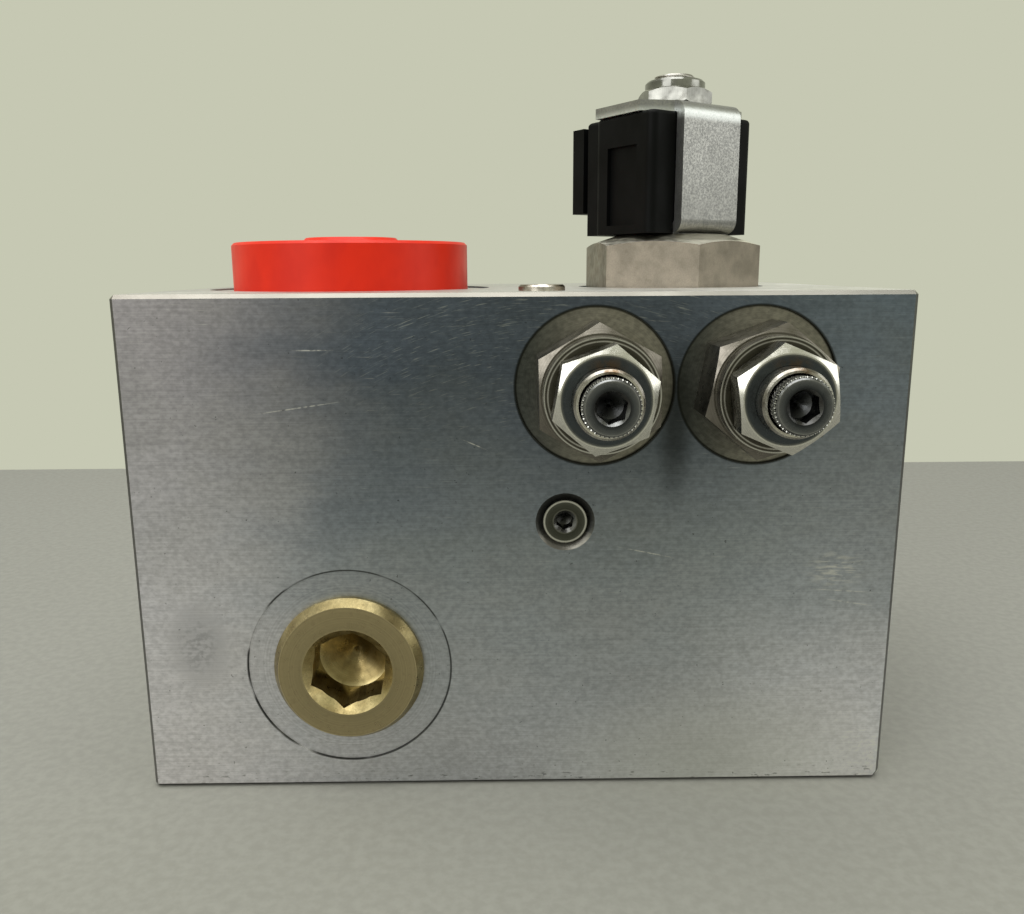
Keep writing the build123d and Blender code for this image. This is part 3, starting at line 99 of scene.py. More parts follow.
# --- Patterns shared by the finishes ----------------------------------------------------
def start_material(name: str) -> tuple[Finish, Tree, Socket]:
    """Open an empty material.

    Args:
        name: name of the finish.

    Returns:
        The material, its tree, and object coordinates in millimetres.
    """
    material = bpy.data.materials.new(name)
    material.use_nodes = True
    tree = material.node_tree
    tree.nodes.clear()
    coords = add_node(tree, "ShaderNodeTexCoord")
    millimetres = add_node(tree, "ShaderNodeVectorMath", {"operation": "SCALE"},
                           {0: coords.outputs["Object"], "Scale": 1 / MM})
    return material, tree, millimetres.outputs[0]


def close_material(tree: Tree, inputs: dict) -> None:
    """Finish a material with a Principled shader.

    Args:
        tree: the material's tree.
        inputs: the shader's sockets, constant or linked.
    """
    shader = add_node(tree, "ShaderNodeBsdfPrincipled", {}, inputs)
    add_node(tree, "ShaderNodeOutputMaterial", {}, {"Surface": shader.outputs[0]})


def grain(tree: Tree, place: Socket, size: Point, detail: float = 3.0,
          shift: float = 0.0) -> Socket:
    """Noise whose grains have a given size.

    Args:
        tree: the material's tree.
        place: coordinates in millimetres.
        size: grain size along X, Y and Z in millimetres.
        detail: finer octaves added.
        shift: offset that gives another draw of the pattern.

    Returns:
        A factor round 0.5.
    """
    mapping = add_node(tree, "ShaderNodeMapping", {}, {
        "Vector": place, "Scale": tuple(1 / s for s in size),
        "Location": (shift, shift * 0.7, -shift)})
    noise = add_node(tree, "ShaderNodeTexNoise", {}, {
        "Vector": mapping.outputs[0], "Scale": 1.0, "Detail": detail, "Roughness": 0.55})
    return noise.outputs["Fac"]


def spread(tree: Tree, value: Socket, low: float, high: float, to_low: float = 0.0,
           to_high: float = 1.0) -> Socket:
    """Stretch part of a factor's range smoothly over another range, clamped.

    Args:
        tree: the material's tree.
        value: the factor.
        low: where the part of its range starts.
        high: where it ends.
        to_low: what low becomes.
        to_high: what high becomes.

    Returns:
        The new factor.
    """
    node = add_node(tree, "ShaderNodeMapRange", {"interpolation_type": "SMOOTHSTEP"}, {
        "Value": value, "From Min": low, "From Max": high, "To Min": to_low, "To Max": to_high})
    return node.outputs[0]


def tint(tree: Tree, factor: Socket, under: Socket | tuple, over: Socket | tuple) -> Socket:
    """Lay one colour over another by a factor.

    Args:
        tree: the material's tree.
        factor: share of the upper colour.
        under: lower colour.
        over: upper colour.

    Returns:
        The blended colour.
    """
    node = add_node(tree, "ShaderNodeMix", {"data_type": "RGBA"}, {0: factor, 6: under, 7: over})
    return node.outputs[2]


def patch(tree: Tree, place: Socket, centre: Point, size: Point, soft: float) -> Socket:
    """Soft ellipsoid patch about a point.

    Args:
        tree: the material's tree.
        place: coordinates in millimetres.
        centre: middle of the patch in millimetres.
        size: half sizes in millimetres.
        soft: share of the radius over which the patch fades.

    Returns:
        One at the middle, nought outside.
    """
    local = add_node(tree, "ShaderNodeMapping", {"vector_type": "TEXTURE"}, {
        "Vector": place, "Location": centre, "Scale": size})
    reach = add_node(tree, "ShaderNodeVectorMath", {"operation": "LENGTH"}, {0: local.outputs[0]})
    return spread(tree, reach.outputs["Value"], 1.0 - soft, 1.0, 1.0, 0.0)


def turned_radius(tree: Tree, place: Socket, axis: TurningAxis, centre: Point) -> Socket:
    """Distance from a turning axis in millimetres.

    Args:
        tree: the material's tree.
        place: coordinates in millimetres.
        axis: direction of the turning axis.
        centre: a point on it in millimetres.

    Returns:
        The radius.
    """
    flat = [0.0 if i == axis.value else 1.0 for i in range(3)]
    offset = add_node(tree, "ShaderNodeVectorMath", {"operation": "SUBTRACT"}, {
        0: place, 1: centre})
    level = add_node(tree, "ShaderNodeVectorMath", {"operation": "MULTIPLY"}, {
        0: offset.outputs[0], 1: flat})
    reach = add_node(tree, "ShaderNodeVectorMath", {"operation": "LENGTH"}, {0: level.outputs[0]})
    return reach.outputs["Value"]


def share(tree: Tree, factor: Socket, part: Socket | float) -> Socket:
    """Part of a factor, or the product of two."""
    node = add_node(tree, "ShaderNodeMath", {"operation": "MULTIPLY"}, {0: factor, 1: part})
    return node.outputs[0]


def shade(tree: Tree, colour: Socket, value: Socket | float) -> Socket:
    """Colour made darker or lighter by a factor."""
    node = add_node(tree, "ShaderNodeVectorMath", {"operation": "SCALE"}, {
        0: colour, "Scale": value})
    return node.outputs[0]


def away_from(tree: Tree, value: Socket, level: float) -> Socket:
    """How far a value is from a level, on either side of it.

    Args:
        tree: the material's tree.
        value: the value.
        level: the level.

    Returns:
        The distance, never below nought.
    """
    past = add_node(tree, "ShaderNodeMath", {"operation": "SUBTRACT"}, {0: value, 1: level})
    size = add_node(tree, "ShaderNodeMath", {"operation": "ABSOLUTE"}, {0: past.outputs[0]})
    return size.outputs[0]


def ramp(tree: Tree, value: Socket, stops: Stops) -> Socket:
    """Colour that runs through tones.

    Args:
        tree: the material's tree.
        value: where to read, from nought to one.
        stops: places from nought to one with their tones, in order.

    Returns:
        The colour.
    """
    node = add_node(tree, "ShaderNodeValToRGB", {}, {0: value})
    elements = node.color_ramp.elements
    while len(elements) < len(stops):
        elements.new(0.5)
    for element, (where, tone) in zip(elements, stops):
        element.position = where
        element.color = linear(tone)
    return node.outputs[0]


def scratch(tree: Tree, place: Socket, x: float, z: float, half: float, slope: float,
            width: float = 0.16) -> Socket:
    """Thin straight mark on a face square to Y.

    Args:
        tree: the material's tree.
        place: coordinates in millimetres.
        x: middle of the mark along X in millimetres.
        z: middle of the mark along Z in millimetres.
        half: half its length in millimetres.
        slope: its rise to the right in degrees.
        width: half its width in millimetres.

    Returns:
        One along the mark, nought off it.
    """
    local = add_node(tree, "ShaderNodeMapping", {"vector_type": "TEXTURE"}, {
        "Vector": place, "Location": (x, 0.0, z), "Rotation": (0.0, -math.radians(slope), 0.0),
        "Scale": (half, THROUGH, width)})
    reach = add_node(tree, "ShaderNodeVectorMath", {"operation": "LENGTH"}, {0: local.outputs[0]})
    return spread(tree, reach.outputs["Value"], 0.2, 1.0, 1.0, 0.0)


def rings(tree: Tree, radius: Socket, pitch: float) -> Socket:
    """Uneven rings like those a lathe tool leaves.

    Args:
        tree: the material's tree.
        radius: distance from the axis in millimetres.
        pitch: spacing of the rings in millimetres.

    Returns:
        A factor round 0.5.
    """
    row = add_node(tree, "ShaderNodeCombineXYZ", {}, {0: radius})
    noise = add_node(tree, "ShaderNodeTexNoise", {}, {
        "Vector": row.outputs[0], "Scale": 1 / pitch, "Detail": 2.0, "Roughness": 0.6})
    return noise.outputs["Fac"]


def facing(tree: Tree, axis: TurningAxis) -> Socket:
    """Mask of the faces that are square to an axis.

    Args:
        tree: the material's tree.
        axis: the axis.

    Returns:
        One on faces square to it, nought on faces along it.
    """
    geometry = add_node(tree, "ShaderNodeNewGeometry")
    aim = [1.0 if i == axis.value else 0.0 for i in range(3)]
    turned = add_node(tree, "ShaderNodeVectorTransform", {
        "vector_type": "NORMAL", "convert_from": "WORLD", "convert_to": "OBJECT"}, {
        0: geometry.outputs["True Normal"]})
    along = add_node(tree, "ShaderNodeVectorMath", {"operation": "DOT_PRODUCT"}, {
        0: turned.outputs[0], 1: aim})
    size = add_node(tree, "ShaderNodeMath", {"operation": "ABSOLUTE"}, {0: along.outputs["Value"]})
    return spread(tree, size.outputs[0], 0.7, 0.95)


def relief(tree: Tree, height: Socket, depth: float, strength: float = 1.0,
           normal: Socket | None = None) -> Socket:
    """Bump, on top of an earlier one where given.

    Args:
        tree: the material's tree.
        height: the bump's height, from nought to one.
        depth: what a height of one is in millimetres.
        strength: how strongly it shows.
        normal: the earlier bump's normal.

    Returns:
        The normal.
    """
    inputs: dict = {"Height": height, "Distance": depth * MM, "Strength": strength}
    if normal is not None:
        inputs["Normal"] = normal
    return add_node(tree, "ShaderNodeBump", {}, inputs).outputs[0]


# --- Finishes -----------------------------------------------------------------------------
@dataclass(frozen=True)
class Spot:
    """Soft patch on a face: middle and half sizes in millimetres, and how strongly it shows."""

    centre: Point
    half: Point
    strength: float


@dataclass(frozen=True)
class MilledAluminium:
    """6061 aluminium, fly-cut and rubbed along its length.

    The cutter leaves broken arcs near the top, the rubbing leaves fine level lines, and oil and
    handling leave a soft mottle with darker clouds. The broad tones are the metal's own with
    painted reflection, the broken edges carry a painted highlight where they face up and painted
    shade elsewhere, and a painted shadow and a painted glare sit on the front. Places and sizes
    are in millimetres, and a ramp runs from the foot to the top.
    """

    name: str = "milled_aluminium"
    # Broad tones, the metal's own with painted reflection, from the foot to the top of each side.
    left: Stops = ((0.0, "#a5a29a"), (0.5, "#908e88"), (1.0, "#807c76"))
    middle: Stops = ((0.05, "#8c8c86"), (0.5, "#666a66"), (0.85, "#444a4c"))
    right: Stops = ((0.05, "#a09e98"), (0.45, "#6e706c"), (1.0, "#525a5c"))
    left_fade: tuple[float, float] = (-72.0, -22.0)
    right_fade: tuple[float, float] = (30.0, 72.0)
    # Painted reflection: the top face is given a paler tone of its own.
    top_reflection: str = "#a5a396"
    # A metal shows what it reflects, so the tones are raised, blue most, to come out as written.
    gain: Point = (1.50, 1.52, 1.78)
    # Painted reflection makes the foot lighter, and painted light makes the right side lighter.
    foot_painted_reflection: float = 1.42
    foot_reflection_fade: tuple[float, float] = (90.0, 35.0)
    right_painted_light: float = 1.28
    right_light_fade: tuple[float, float] = (20.0, 60.0)
    dark: str = "#34373a"
    # Dark of knocks and specks, and painted shade between the valves and round the spotfaces.
    pit_and_shadow: str = "#23241f"
    bright: str = "#c2c5bf"
    edge: str = "#e2e0d8"
    # Broken edges: painted highlight where they face up, painted shade elsewhere.
    lit_edge: str = "#8f8b82"
    shaded_edge: str = "#4f4e49"
    glare: str = "#eff0ea"
    # Spotface discs: painted light on their right side and painted shade on their left.
    disc_lit: str = "#8d897c"
    disc_shaded: str = "#4c4e49"
    cloud_size: Point = (26.0, 26.0, 16.0)
    cloud_wander: float = 7.0
    # The real rubbed lines are finer; they are drawn as coarse as they need to be to show.
    line_size: Point = (22.0, 22.0, 0.24)
    mottle_size: Point = (1.1, 1.1, 0.8)
    scuff_size: Point = (6.0, 6.0, 0.22)
    line_depth: float = 0.006
    scuff_depth: float = 0.004
    roughness: float = 0.42
    half_depth: float = 50.8
    height: float = 101.6
    arc_centre: Point = (9.0, 0.0, 16.0)
    arc_radius: float = 80.0
    arc_size: Point = (0.22, 3.6, 1.0)
    arc_zone: Spot = Spot((6.0, 0.0, 98.0), (62.0, THROUGH, 36.0), 0.36)
    valve_places: tuple[tuple[float, float], ...] = ((15.0, 83.7), (46.3, 83.7))
    valve_disc: float = 15.3
    valve_ring_pitch: float = 0.35
    plug_place: tuple[float, float] = (-34.3, 26.6)
    plug_disc: float = 20.65
    plug_ring_pitch: float = 0.3
    # Middle along X and Z, half length, and rise to the right in degrees.
    scratches: tuple[tuple[float, float, float, float], ...] = (
        (-38.5, 91.0, 5.0, 0.0), (-42.0, 80.0, 10.5, 8.0), (65.5, 42.0, 9.0, -4.0),
        (67.0, 39.5, 7.0, -9.0), (25.5, 50.5, 8.0, -12.0), (-8.0, 72.5, 3.5, -24.0))
    scratch_share: float = 0.7
    # A painted shadow between the valves, a smudge, a rubbed spot and a painted glare.
    shadow: Spot = Spot((30.6, -50.8, 76.0), (5.0, 20.0, 20.0), 0.7)
    smudge: Spot = Spot((-64.7, -50.8, 31.4), (8.0, 20.0, 12.0), 0.45)
    rubbed: Spot = Spot((64.0, -50.8, 46.5), (8.0, 20.0, 5.5), 0.6)
    flare: Spot = Spot((46.0, -50.8, 2.0), (52.0, 20.0, 24.0), 0.5)
    spot_softness: float = 0.9

    def build(self) -> Finish:
        """Build the material.

        Returns:
            The finished material.
        """
        material, tree, place = start_material(self.name)
        clouds = grain(tree, place, self.cloud_size, 4.0, 3.1)
        lines = grain(tree, place, self.line_size, 4.0, 1.7)
        mottle = grain(tree, place, self.mottle_size, 8.0, 5.5)
        scuffs = grain(tree, place, self.scuff_size, 5.0, 8.3)
        colour = self.tones(tree, place, clouds)
        colour = shade(tree, colour, spread(tree, lines, 0.25, 0.75, 0.92, 1.09))
        colour = shade(tree, colour, spread(tree, mottle, 0.25, 0.75, 0.85, 1.15))
        front = self.front(tree, place)
        arcs = share(tree, self.arcs(tree, place), front)
        colour = tint(tree, share(tree, arcs, self.arc_zone.strength), colour, linear(self.bright))
        rubs = spread(tree, scuffs, 0.64, 0.80, 0.0, 0.30)
        colour = tint(tree, rubs, colour, linear(self.edge))
        colour = self.discs(tree, place, colour, mottle, front)
        broken_up = spread(tree, mottle, 0.35, 0.6)
        for x, z, half, slope in self.scratches:
            mark = share(tree, scratch(tree, place, x, z, half, slope), broken_up)
            mark = share(tree, share(tree, mark, self.scratch_share), front)
            colour = tint(tree, mark, colour, linear(self.edge))
        colour = self.marks(tree, place, colour, mottle)
        colour = self.edges(tree, colour)
        rough = spread(tree, clouds, 0.3, 0.7, self.roughness - 0.08, self.roughness + 0.10)
        normal = relief(tree, lines, self.line_depth)
        normal = relief(tree, scuffs, self.scuff_depth, 0.6, normal)
        close_material(tree, {
            "Base Color": colour, "Metallic": 1.0, "Roughness": rough, "Normal": normal})
        return material

    def tones(self, tree: Tree, place: Socket, clouds: Socket) -> Socket:
        """Broad tones with painted reflection and light, lighter at the foot and sides, paler on
        top.

        Args:
            tree: the material's tree.
            place: coordinates in millimetres.
            clouds: noise that makes the tones wander.

        Returns:
            The colour.
        """
        wander = spread(tree, clouds, 0.25, 0.75, -self.cloud_wander, self.cloud_wander)
        moved = add_node(tree, "ShaderNodeVectorMath", {"operation": "ADD"}, {0: place, 1: wander})
        across, _, up = add_node(tree, "ShaderNodeSeparateXYZ", {}, {0: moved.outputs[0]}).outputs
        level = share(tree, up, 1 / self.height)
        to_middle = spread(tree, across, *self.left_fade)
        to_right = spread(tree, across, *self.right_fade)
        colour = tint(tree, to_middle, ramp(tree, level, self.left), ramp(tree, level, self.middle))
        colour = tint(tree, to_right, colour, ramp(tree, level, self.right))
        # Painted reflection: the top face takes a paler tone of its own.
        colour = tint(tree, facing(tree, TurningAxis.ALONG_Z), colour, linear(self.top_reflection))
        colour = add_node(tree, "ShaderNodeVectorMath", {"operation": "MULTIPLY"}, {
            0: colour, 1: self.gain}).outputs[0]
        # Painted light: lighter towards the foot and towards the right.
        across, _, up = add_node(tree, "ShaderNodeSeparateXYZ", {}, {0: place}).outputs
        colour = shade(tree, colour, spread(tree, up, *self.foot_reflection_fade, 1.0, self.foot_painted_reflection))
        return shade(
            tree, colour, spread(tree, across, *self.right_light_fade, 1.0, self.right_painted_light))

    def front(self, tree: Tree, place: Socket) -> Socket:
        """One on the front face, nought behind it."""
        parts = add_node(tree, "ShaderNodeSeparateXYZ", {}, {0: place})
        return spread(tree, parts.outputs[1], 2.0 - self.half_depth, 1.0 - self.half_depth)

    def arcs(self, tree: Tree, place: Socket) -> Socket:
        """Broken arcs of the cutter, near the top of the front.

        Args:
            tree: the material's tree.
            place: coordinates in millimetres.

        Returns:
            One on an arc, nought between them.
        """
        offset = add_node(tree, "ShaderNodeVectorMath", {"operation": "SUBTRACT"}, {
            0: place, 1: self.arc_centre})
        parts = add_node(tree, "ShaderNodeSeparateXYZ", {}, {0: offset.outputs[0]})
        angle = add_node(tree, "ShaderNodeMath", {"operation": "ARCTAN2"}, {
            0: parts.outputs[2], 1: parts.outputs[0]})
        radius = turned_radius(tree, place, TurningAxis.ALONG_Y, self.arc_centre)
        curved = add_node(tree, "ShaderNodeCombineXYZ", {}, {
            0: radius, 1: share(tree, angle.outputs[0], self.arc_radius)})
        dashes = grain(tree, curved.outputs[0], self.arc_size, 3.0, 2.2)
        zone = patch(tree, place, self.arc_zone.centre, self.arc_zone.half, 0.75)
        return share(tree, spread(tree, dashes, 0.57, 0.74), zone)

    def discs(self, tree: Tree, place: Socket, colour: Socket, mottle: Socket,
              front: Socket) -> Socket:
        """Spotface tones with painted light and shade, and a line of painted shade round each.

        Args:
            tree: the material's tree.
            place: coordinates in millimetres.
            colour: colour below.
            mottle: fine noise.
            front: one on the front face.

        Returns:
            The colour.
        """
        across = add_node(tree, "ShaderNodeSeparateXYZ", {}, {0: place}).outputs[0]
        for x, z in self.valve_places:
            radius = turned_radius(tree, place, TurningAxis.ALONG_Y, (x, 0.0, z))
            inside = spread(tree, radius, self.valve_disc, self.valve_disc + 0.05, 1.0, 0.0)
            # Painted light and shade: each disc is lighter on its right and darker on its left.
            side = add_node(tree, "ShaderNodeMath", {"operation": "SUBTRACT"}, {0: across, 1: x})
            lit = spread(tree, side.outputs[0], -15.0, 2.0)
            tone = tint(tree, lit, linear(self.disc_shaded), linear(self.disc_lit))
            tone = shade(tree, tone, spread(tree, mottle, 0.25, 0.75, 0.75, 1.2))
            turning = rings(tree, radius, self.valve_ring_pitch)
            tone = shade(tree, tone, spread(tree, turning, 0.3, 0.7, 0.88, 1.12))
            colour = tint(tree, share(tree, share(tree, inside, front), 0.92), colour, tone)
            # Painted shade: a dark line round the spotface's edge.
            rim = spread(tree, away_from(tree, radius, self.valve_disc), 0.1, 0.45, 0.85, 0.0)
            colour = tint(tree, share(tree, rim, front), colour, linear(self.pit_and_shadow))
        x, z = self.plug_place
        radius = turned_radius(tree, place, TurningAxis.ALONG_Y, (x, 0.0, z))
        inside = spread(tree, radius, self.plug_disc - 0.2, self.plug_disc, 0.45, 0.0)
        turning = rings(tree, radius, self.plug_ring_pitch)
        turned = shade(tree, colour, spread(tree, turning, 0.3, 0.7, 0.75, 1.1))
        colour = tint(tree, share(tree, inside, front), colour, turned)
        # Painted shade: a dark line, broken in places, round the port's spotface.
        rim = spread(tree, away_from(tree, radius, self.plug_disc), 0.08, 0.3, 0.85, 0.0)
        worn = spread(tree, grain(tree, place, (9.0, 9.0, 9.0), 1.0, 6.1), 0.38, 0.52)
        line = share(tree, share(tree, rim, front), worn)
        return tint(tree, line, colour, linear(self.pit_and_shadow))

    def marks(self, tree: Tree, place: Socket, colour: Socket, mottle: Socket) -> Socket:
        """Painted shadow and glare, a smudge, a rubbed spot, knocks at the foot and specks.

        Args:
            tree: the material's tree.
            place: coordinates in millimetres.
            colour: colour below.
            mottle: fine noise.

        Returns:
            The colour.
        """
        rubs = grain(tree, place, (3.2, 3.2, 0.4), 3.0, 3.9)
        # The shadow is painted shade and the flare a painted highlight; the smudge and rub are
        # marks.
        for spot, breaks, tone in (
                (self.shadow, None, self.pit_and_shadow),
                (self.smudge, spread(tree, mottle, 0.35, 0.65), self.dark),
                (self.rubbed, spread(tree, rubs, 0.46, 0.6), self.edge),
                (self.flare, None, self.glare)):
            mark = patch(tree, place, spot.centre, spot.half, self.spot_softness)
            if breaks is not None:
                mark = share(tree, mark, breaks)
            colour = tint(tree, share(tree, mark, spot.strength), colour, linear(tone))
        up = add_node(tree, "ShaderNodeSeparateXYZ", {}, {0: place}).outputs[2]
        foot = spread(tree, up, 1.0, 5.0, 1.0, 0.0)
        knocks = spread(tree, grain(tree, place, (2.2, 2.2, 0.7), 3.0, 9.4), 0.62, 0.70)
        knocked = share(tree, share(tree, knocks, foot), 0.6)
        colour = tint(tree, knocked, colour, linear(self.pit_and_shadow))
        specks = grain(tree, place, (0.8, 0.8, 0.8), 2.0, 12.7)
        return tint(tree, spread(tree, specks, 0.72, 0.78, 0.0, 0.6), colour, linear(self.pit_and_shadow))

    def edges(self, tree: Tree, colour: Socket) -> Socket:
        """Painted light and shade on the broken edges, whose faces are square to no axis.

        Args:
            tree: the material's tree.
            colour: colour below.

        Returns:
            The colour.
        """
        normal = add_node(tree, "ShaderNodeNewGeometry").outputs["True Normal"]
        size = add_node(tree, "ShaderNodeVectorMath", {"operation": "ABSOLUTE"}, {0: normal})
        x, y, z = add_node(tree, "ShaderNodeSeparateXYZ", {}, {0: size.outputs[0]}).outputs
        wide = add_node(tree, "ShaderNodeMath", {"operation": "MAXIMUM"}, {0: x, 1: y})
        most = add_node(tree, "ShaderNodeMath", {"operation": "MAXIMUM"}, {
            0: wide.outputs[0], 1: z})
        slanted = spread(tree, most.outputs[0], 0.75, 0.85, 1.0, 0.0)
        # Painted highlight on edges that face up, painted shade on the rest.
        up = add_node(tree, "ShaderNodeSeparateXYZ", {}, {0: normal}).outputs[2]
        edge_light_and_shade = tint(tree, spread(tree, up, 0.2, 0.5), linear(self.shaded_edge), linear(self.lit_edge))
        return tint(tree, share(tree, slanted, 0.85), colour, edge_light_and_shade)


@dataclass(frozen=True)
class TurnedMetal:
    """Lathe-turned metal, plain or plated.

    Faces square to the axis carry fine uneven rings and tones that change with the radius,
    the flats and cylinders a light draw grain, and grime and stains sit in patches. The radial
    tones mix the metal's own tones with painted highlights on turned edges and chamfers and
    painted shade in sockets and recesses. Lengths are in millimetres, radial tones are radii
    with their tones, and a stain is a middle and its half sizes.
    """

    name: str
    axis: TurningAxis
    centre: Point
    light: str
    dark: str
    # Radial tones of the end faces: the metal's colour with painted highlights and painted shade.
    radius_tones_and_light: Stops = ()
    grime: str = "#3a332b"
    roughness: float = 0.30
    # A lathe's real rings are finer; these are as fine as still shows.
    ring_pitch: float = 0.16
    ring_depth: float = 0.012
    grime_share: float = 0.2
    grain_length: float = 6.0
    grain_width: float = 0.25
    tone_size: Point = (5.0, 5.0, 5.0)
    spot_size: Point = (1.8, 1.8, 1.8)
    contrast: float = 0.16
    stain: str = "#6a4e2c"
    stains: tuple[tuple[Point, Point], ...] = ()

    def build(self) -> Finish:
        """Build the material.

        Returns:
            The finished material.
        """
        material, tree, place = start_material(self.name)
        radius = turned_radius(tree, place, self.axis, self.centre)
        ends = facing(tree, self.axis)
        size = [self.grain_width] * 3
        size[self.axis.value] = self.grain_length
        draw = grain(tree, place, tuple(size), 3.0, 2.0)
        tool = add_node(tree, "ShaderNodeMix", {"data_type": "FLOAT"}, {
            0: ends, 2: draw, 3: rings(tree, radius, self.ring_pitch)}).outputs[0]
        broad = grain(tree, place, self.tone_size, 2.0, 7.7)
        colour = tint(tree, spread(tree, broad, 0.35, 0.65), linear(self.dark), linear(self.light))
        # Painted highlights and painted shade by radius, with the metal's own tones, on the end
        # faces.
        if self.radius_tones_and_light:
            reach = self.radius_tones_and_light[-1][0]
            stops = tuple((where / reach, tone) for where, tone in self.radius_tones_and_light)
            colour = tint(tree, ends, colour, ramp(tree, share(tree, radius, 1 / reach), stops))
        tooled = spread(tree, tool, 0.25, 0.75, 1.0 - self.contrast, 1.0 + self.contrast)
        colour = shade(tree, colour, tooled)
        spots = grain(tree, place, self.spot_size, 5.0, 4.0)
        dirt = spread(tree, spots, 0.52, 0.74, 0.0, self.grime_share)
        colour = tint(tree, dirt, colour, linear(self.grime))
        for centre, half in self.stains:
            film = patch(tree, place, centre, half, 0.8)
            film = share(tree, share(tree, film, spread(tree, spots, 0.32, 0.55)), 0.85)
            colour = tint(tree, film, colour, linear(self.stain))
        rough = spread(tree, spots, 0.3, 0.75, self.roughness - 0.06, self.roughness + 0.14)
        normal = relief(tree, tool, self.ring_depth)
        close_material(tree, {
            "Base Color": colour, "Metallic": 1.0, "Roughness": rough, "Normal": normal})
        return material


@dataclass(frozen=True)
class MouldedPlastic:
    """Injection-moulded plastic: one colour, a faint flow tone and a fine satin skin."""

    name: str
    light: str
    dark: str
    roughness: float = 0.4
    flow_size: Point = (9.0, 9.0, 14.0)
    skin_size: float = 0.35
    skin_depth: float = 0.01
    glow: float = 0.0
    glow_reach: Point = (0.004, 0.001, 0.0006)
    specular: float = 0.5
    ior: float = 1.5

    def build(self) -> Finish:
        """Build the material.

        Returns:
            The finished material.
        """
        material, tree, place = start_material(self.name)
        flow = grain(tree, place, self.flow_size, 3.0, 6.0)
        colour = tint(tree, spread(tree, flow, 0.35, 0.65), linear(self.light), linear(self.dark))
        skin = grain(tree, place, (self.skin_size,) * 3, 2.0, 1.0)
        rough = spread(tree, flow, 0.3, 0.7, self.roughness - 0.05, self.roughness + 0.08)
        normal = relief(tree, skin, self.skin_depth)
        close_material(tree, {
            "Base Color": colour, "Roughness": rough, "Normal": normal, "IOR": self.ior,
            "Specular IOR Level": self.specular, "Subsurface Weight": self.glow,
            "Subsurface Radius": self.glow_reach})
        return material


@dataclass(frozen=True)
class ZincPlatedStrip:
    """Zinc-plated steel strip: fine light and dark speckle, with a painted highlight on the bend.
    """

    name: str = "zinc_plated_strip"
    light: str = "#9c9c99"
    dark: str = "#8b8b8b"
    fleck: str = "#77787a"
    bend_highlight: str = "#dfe3e3"
    bend_height: float = 139.4
    grain_size: float = 0.45
    tone_size: Point = (4.0, 4.0, 6.0)
    fleck_size: Point = (0.3, 0.3, 0.3)
    roughness: float = 0.40

    def build(self) -> Finish:
        """Build the material.

        Returns:
            The finished material.
        """
        material, tree, place = start_material(self.name)
        speckle = grain(tree, place, (self.grain_size,) * 3, 4.0, 7.0)
        worn = spread(tree, speckle, 0.35, 0.65)
        colour = tint(tree, worn, linear(self.light), linear(self.dark))
        broad = grain(tree, place, self.tone_size, 3.0, 2.5)
        colour = shade(tree, colour, spread(tree, broad, 0.3, 0.7, 0.92, 1.08))
        flecks = grain(tree, place, self.fleck_size, 2.0, 17.0)
        colour = tint(tree, spread(tree, flecks, 0.62, 0.74, 0.0, 0.3), colour, linear(self.fleck))
        up = add_node(tree, "ShaderNodeSeparateXYZ", {}, {0: place}).outputs[2]
        # Painted highlight along the bend, broken up by the speckle.
        bend_highlight = spread(tree, away_from(tree, up, self.bend_height), 0.4, 1.8, 1.0, 0.0)
        bend_highlight = share(tree, bend_highlight, spread(tree, speckle, 0.3, 0.55, 0.5, 1.0))
        colour = tint(tree, share(tree, bend_highlight, 0.8), colour, linear(self.bend_highlight))
        rough = spread(tree, speckle, 0.3, 0.7, self.roughness - 0.06, self.roughness + 0.10)
        normal = relief(tree, speckle, 0.008)
        close_material(tree, {
            "Base Color": colour, "Metallic": 1.0, "Roughness": rough, "Normal": normal})
        return material


@dataclass(frozen=True)
class SealRubber:
    """Moulded nitrile rubber: near black, dull, with an oily patchiness."""

    name: str = "nitrile_rubber"
    light: str = "#1c1c1d"
    dark: str = "#0c0c0d"
    film_size: Point = (1.5, 1.5, 1.5)

    def build(self) -> Finish:
        """Build the material.

        Returns:
            The finished material.
        """
        material, tree, place = start_material(self.name)
        film = grain(tree, place, self.film_size, 3.0)
        colour = tint(tree, film, linear(self.light), linear(self.dark))
        rough = spread(tree, film, 0.3, 0.7, 0.45, 0.65)
        normal = relief(tree, film, 0.01)
        close_material(tree, {"Base Color": colour, "Roughness": rough, "Normal": normal})
        return material


# --- Geometry Nodes --------------------------------------------------------------------------
def open_tree(name: str,
              sockets: dict[str, tuple[str, float]]) -> tuple[Tree, bpy.types.Node]:
    """Start a Geometry Nodes tree with named inputs.

    Args:
        name: name of the tree.
        sockets: input names, each with its socket type and default.

    Returns:
        The tree and its input node.
    """
    tree = bpy.data.node_groups.new(name, "GeometryNodeTree")
    for label, (kind, default) in sockets.items():
        socket = tree.interface.new_socket(label, in_out="INPUT", socket_type=kind)
        socket.default_value = default
    tree.interface.new_socket("Finish", in_out="INPUT", socket_type="NodeSocketMaterial")
    tree.interface.new_socket("Geometry", in_out="OUTPUT", socket_type="NodeSocketGeometry")
    return tree, add_node(tree, "NodeGroupInput")


def close_tree(tree: Tree, geometry: Socket, finish: Socket) -> None:
    """End a tree in Realize Instances and Set Material.

    Args:
        tree: the tree.
        geometry: what it has made.
        finish: the input that holds the material.
    """
    real = add_node(tree, "GeometryNodeRealizeInstances", {}, {0: geometry})
    dressed = add_node(tree, "GeometryNodeSetMaterial", {}, {
        0: real.outputs[0], "Material": finish})
    add_node(tree, "NodeGroupOutput", {}, {0: dressed.outputs[0]})


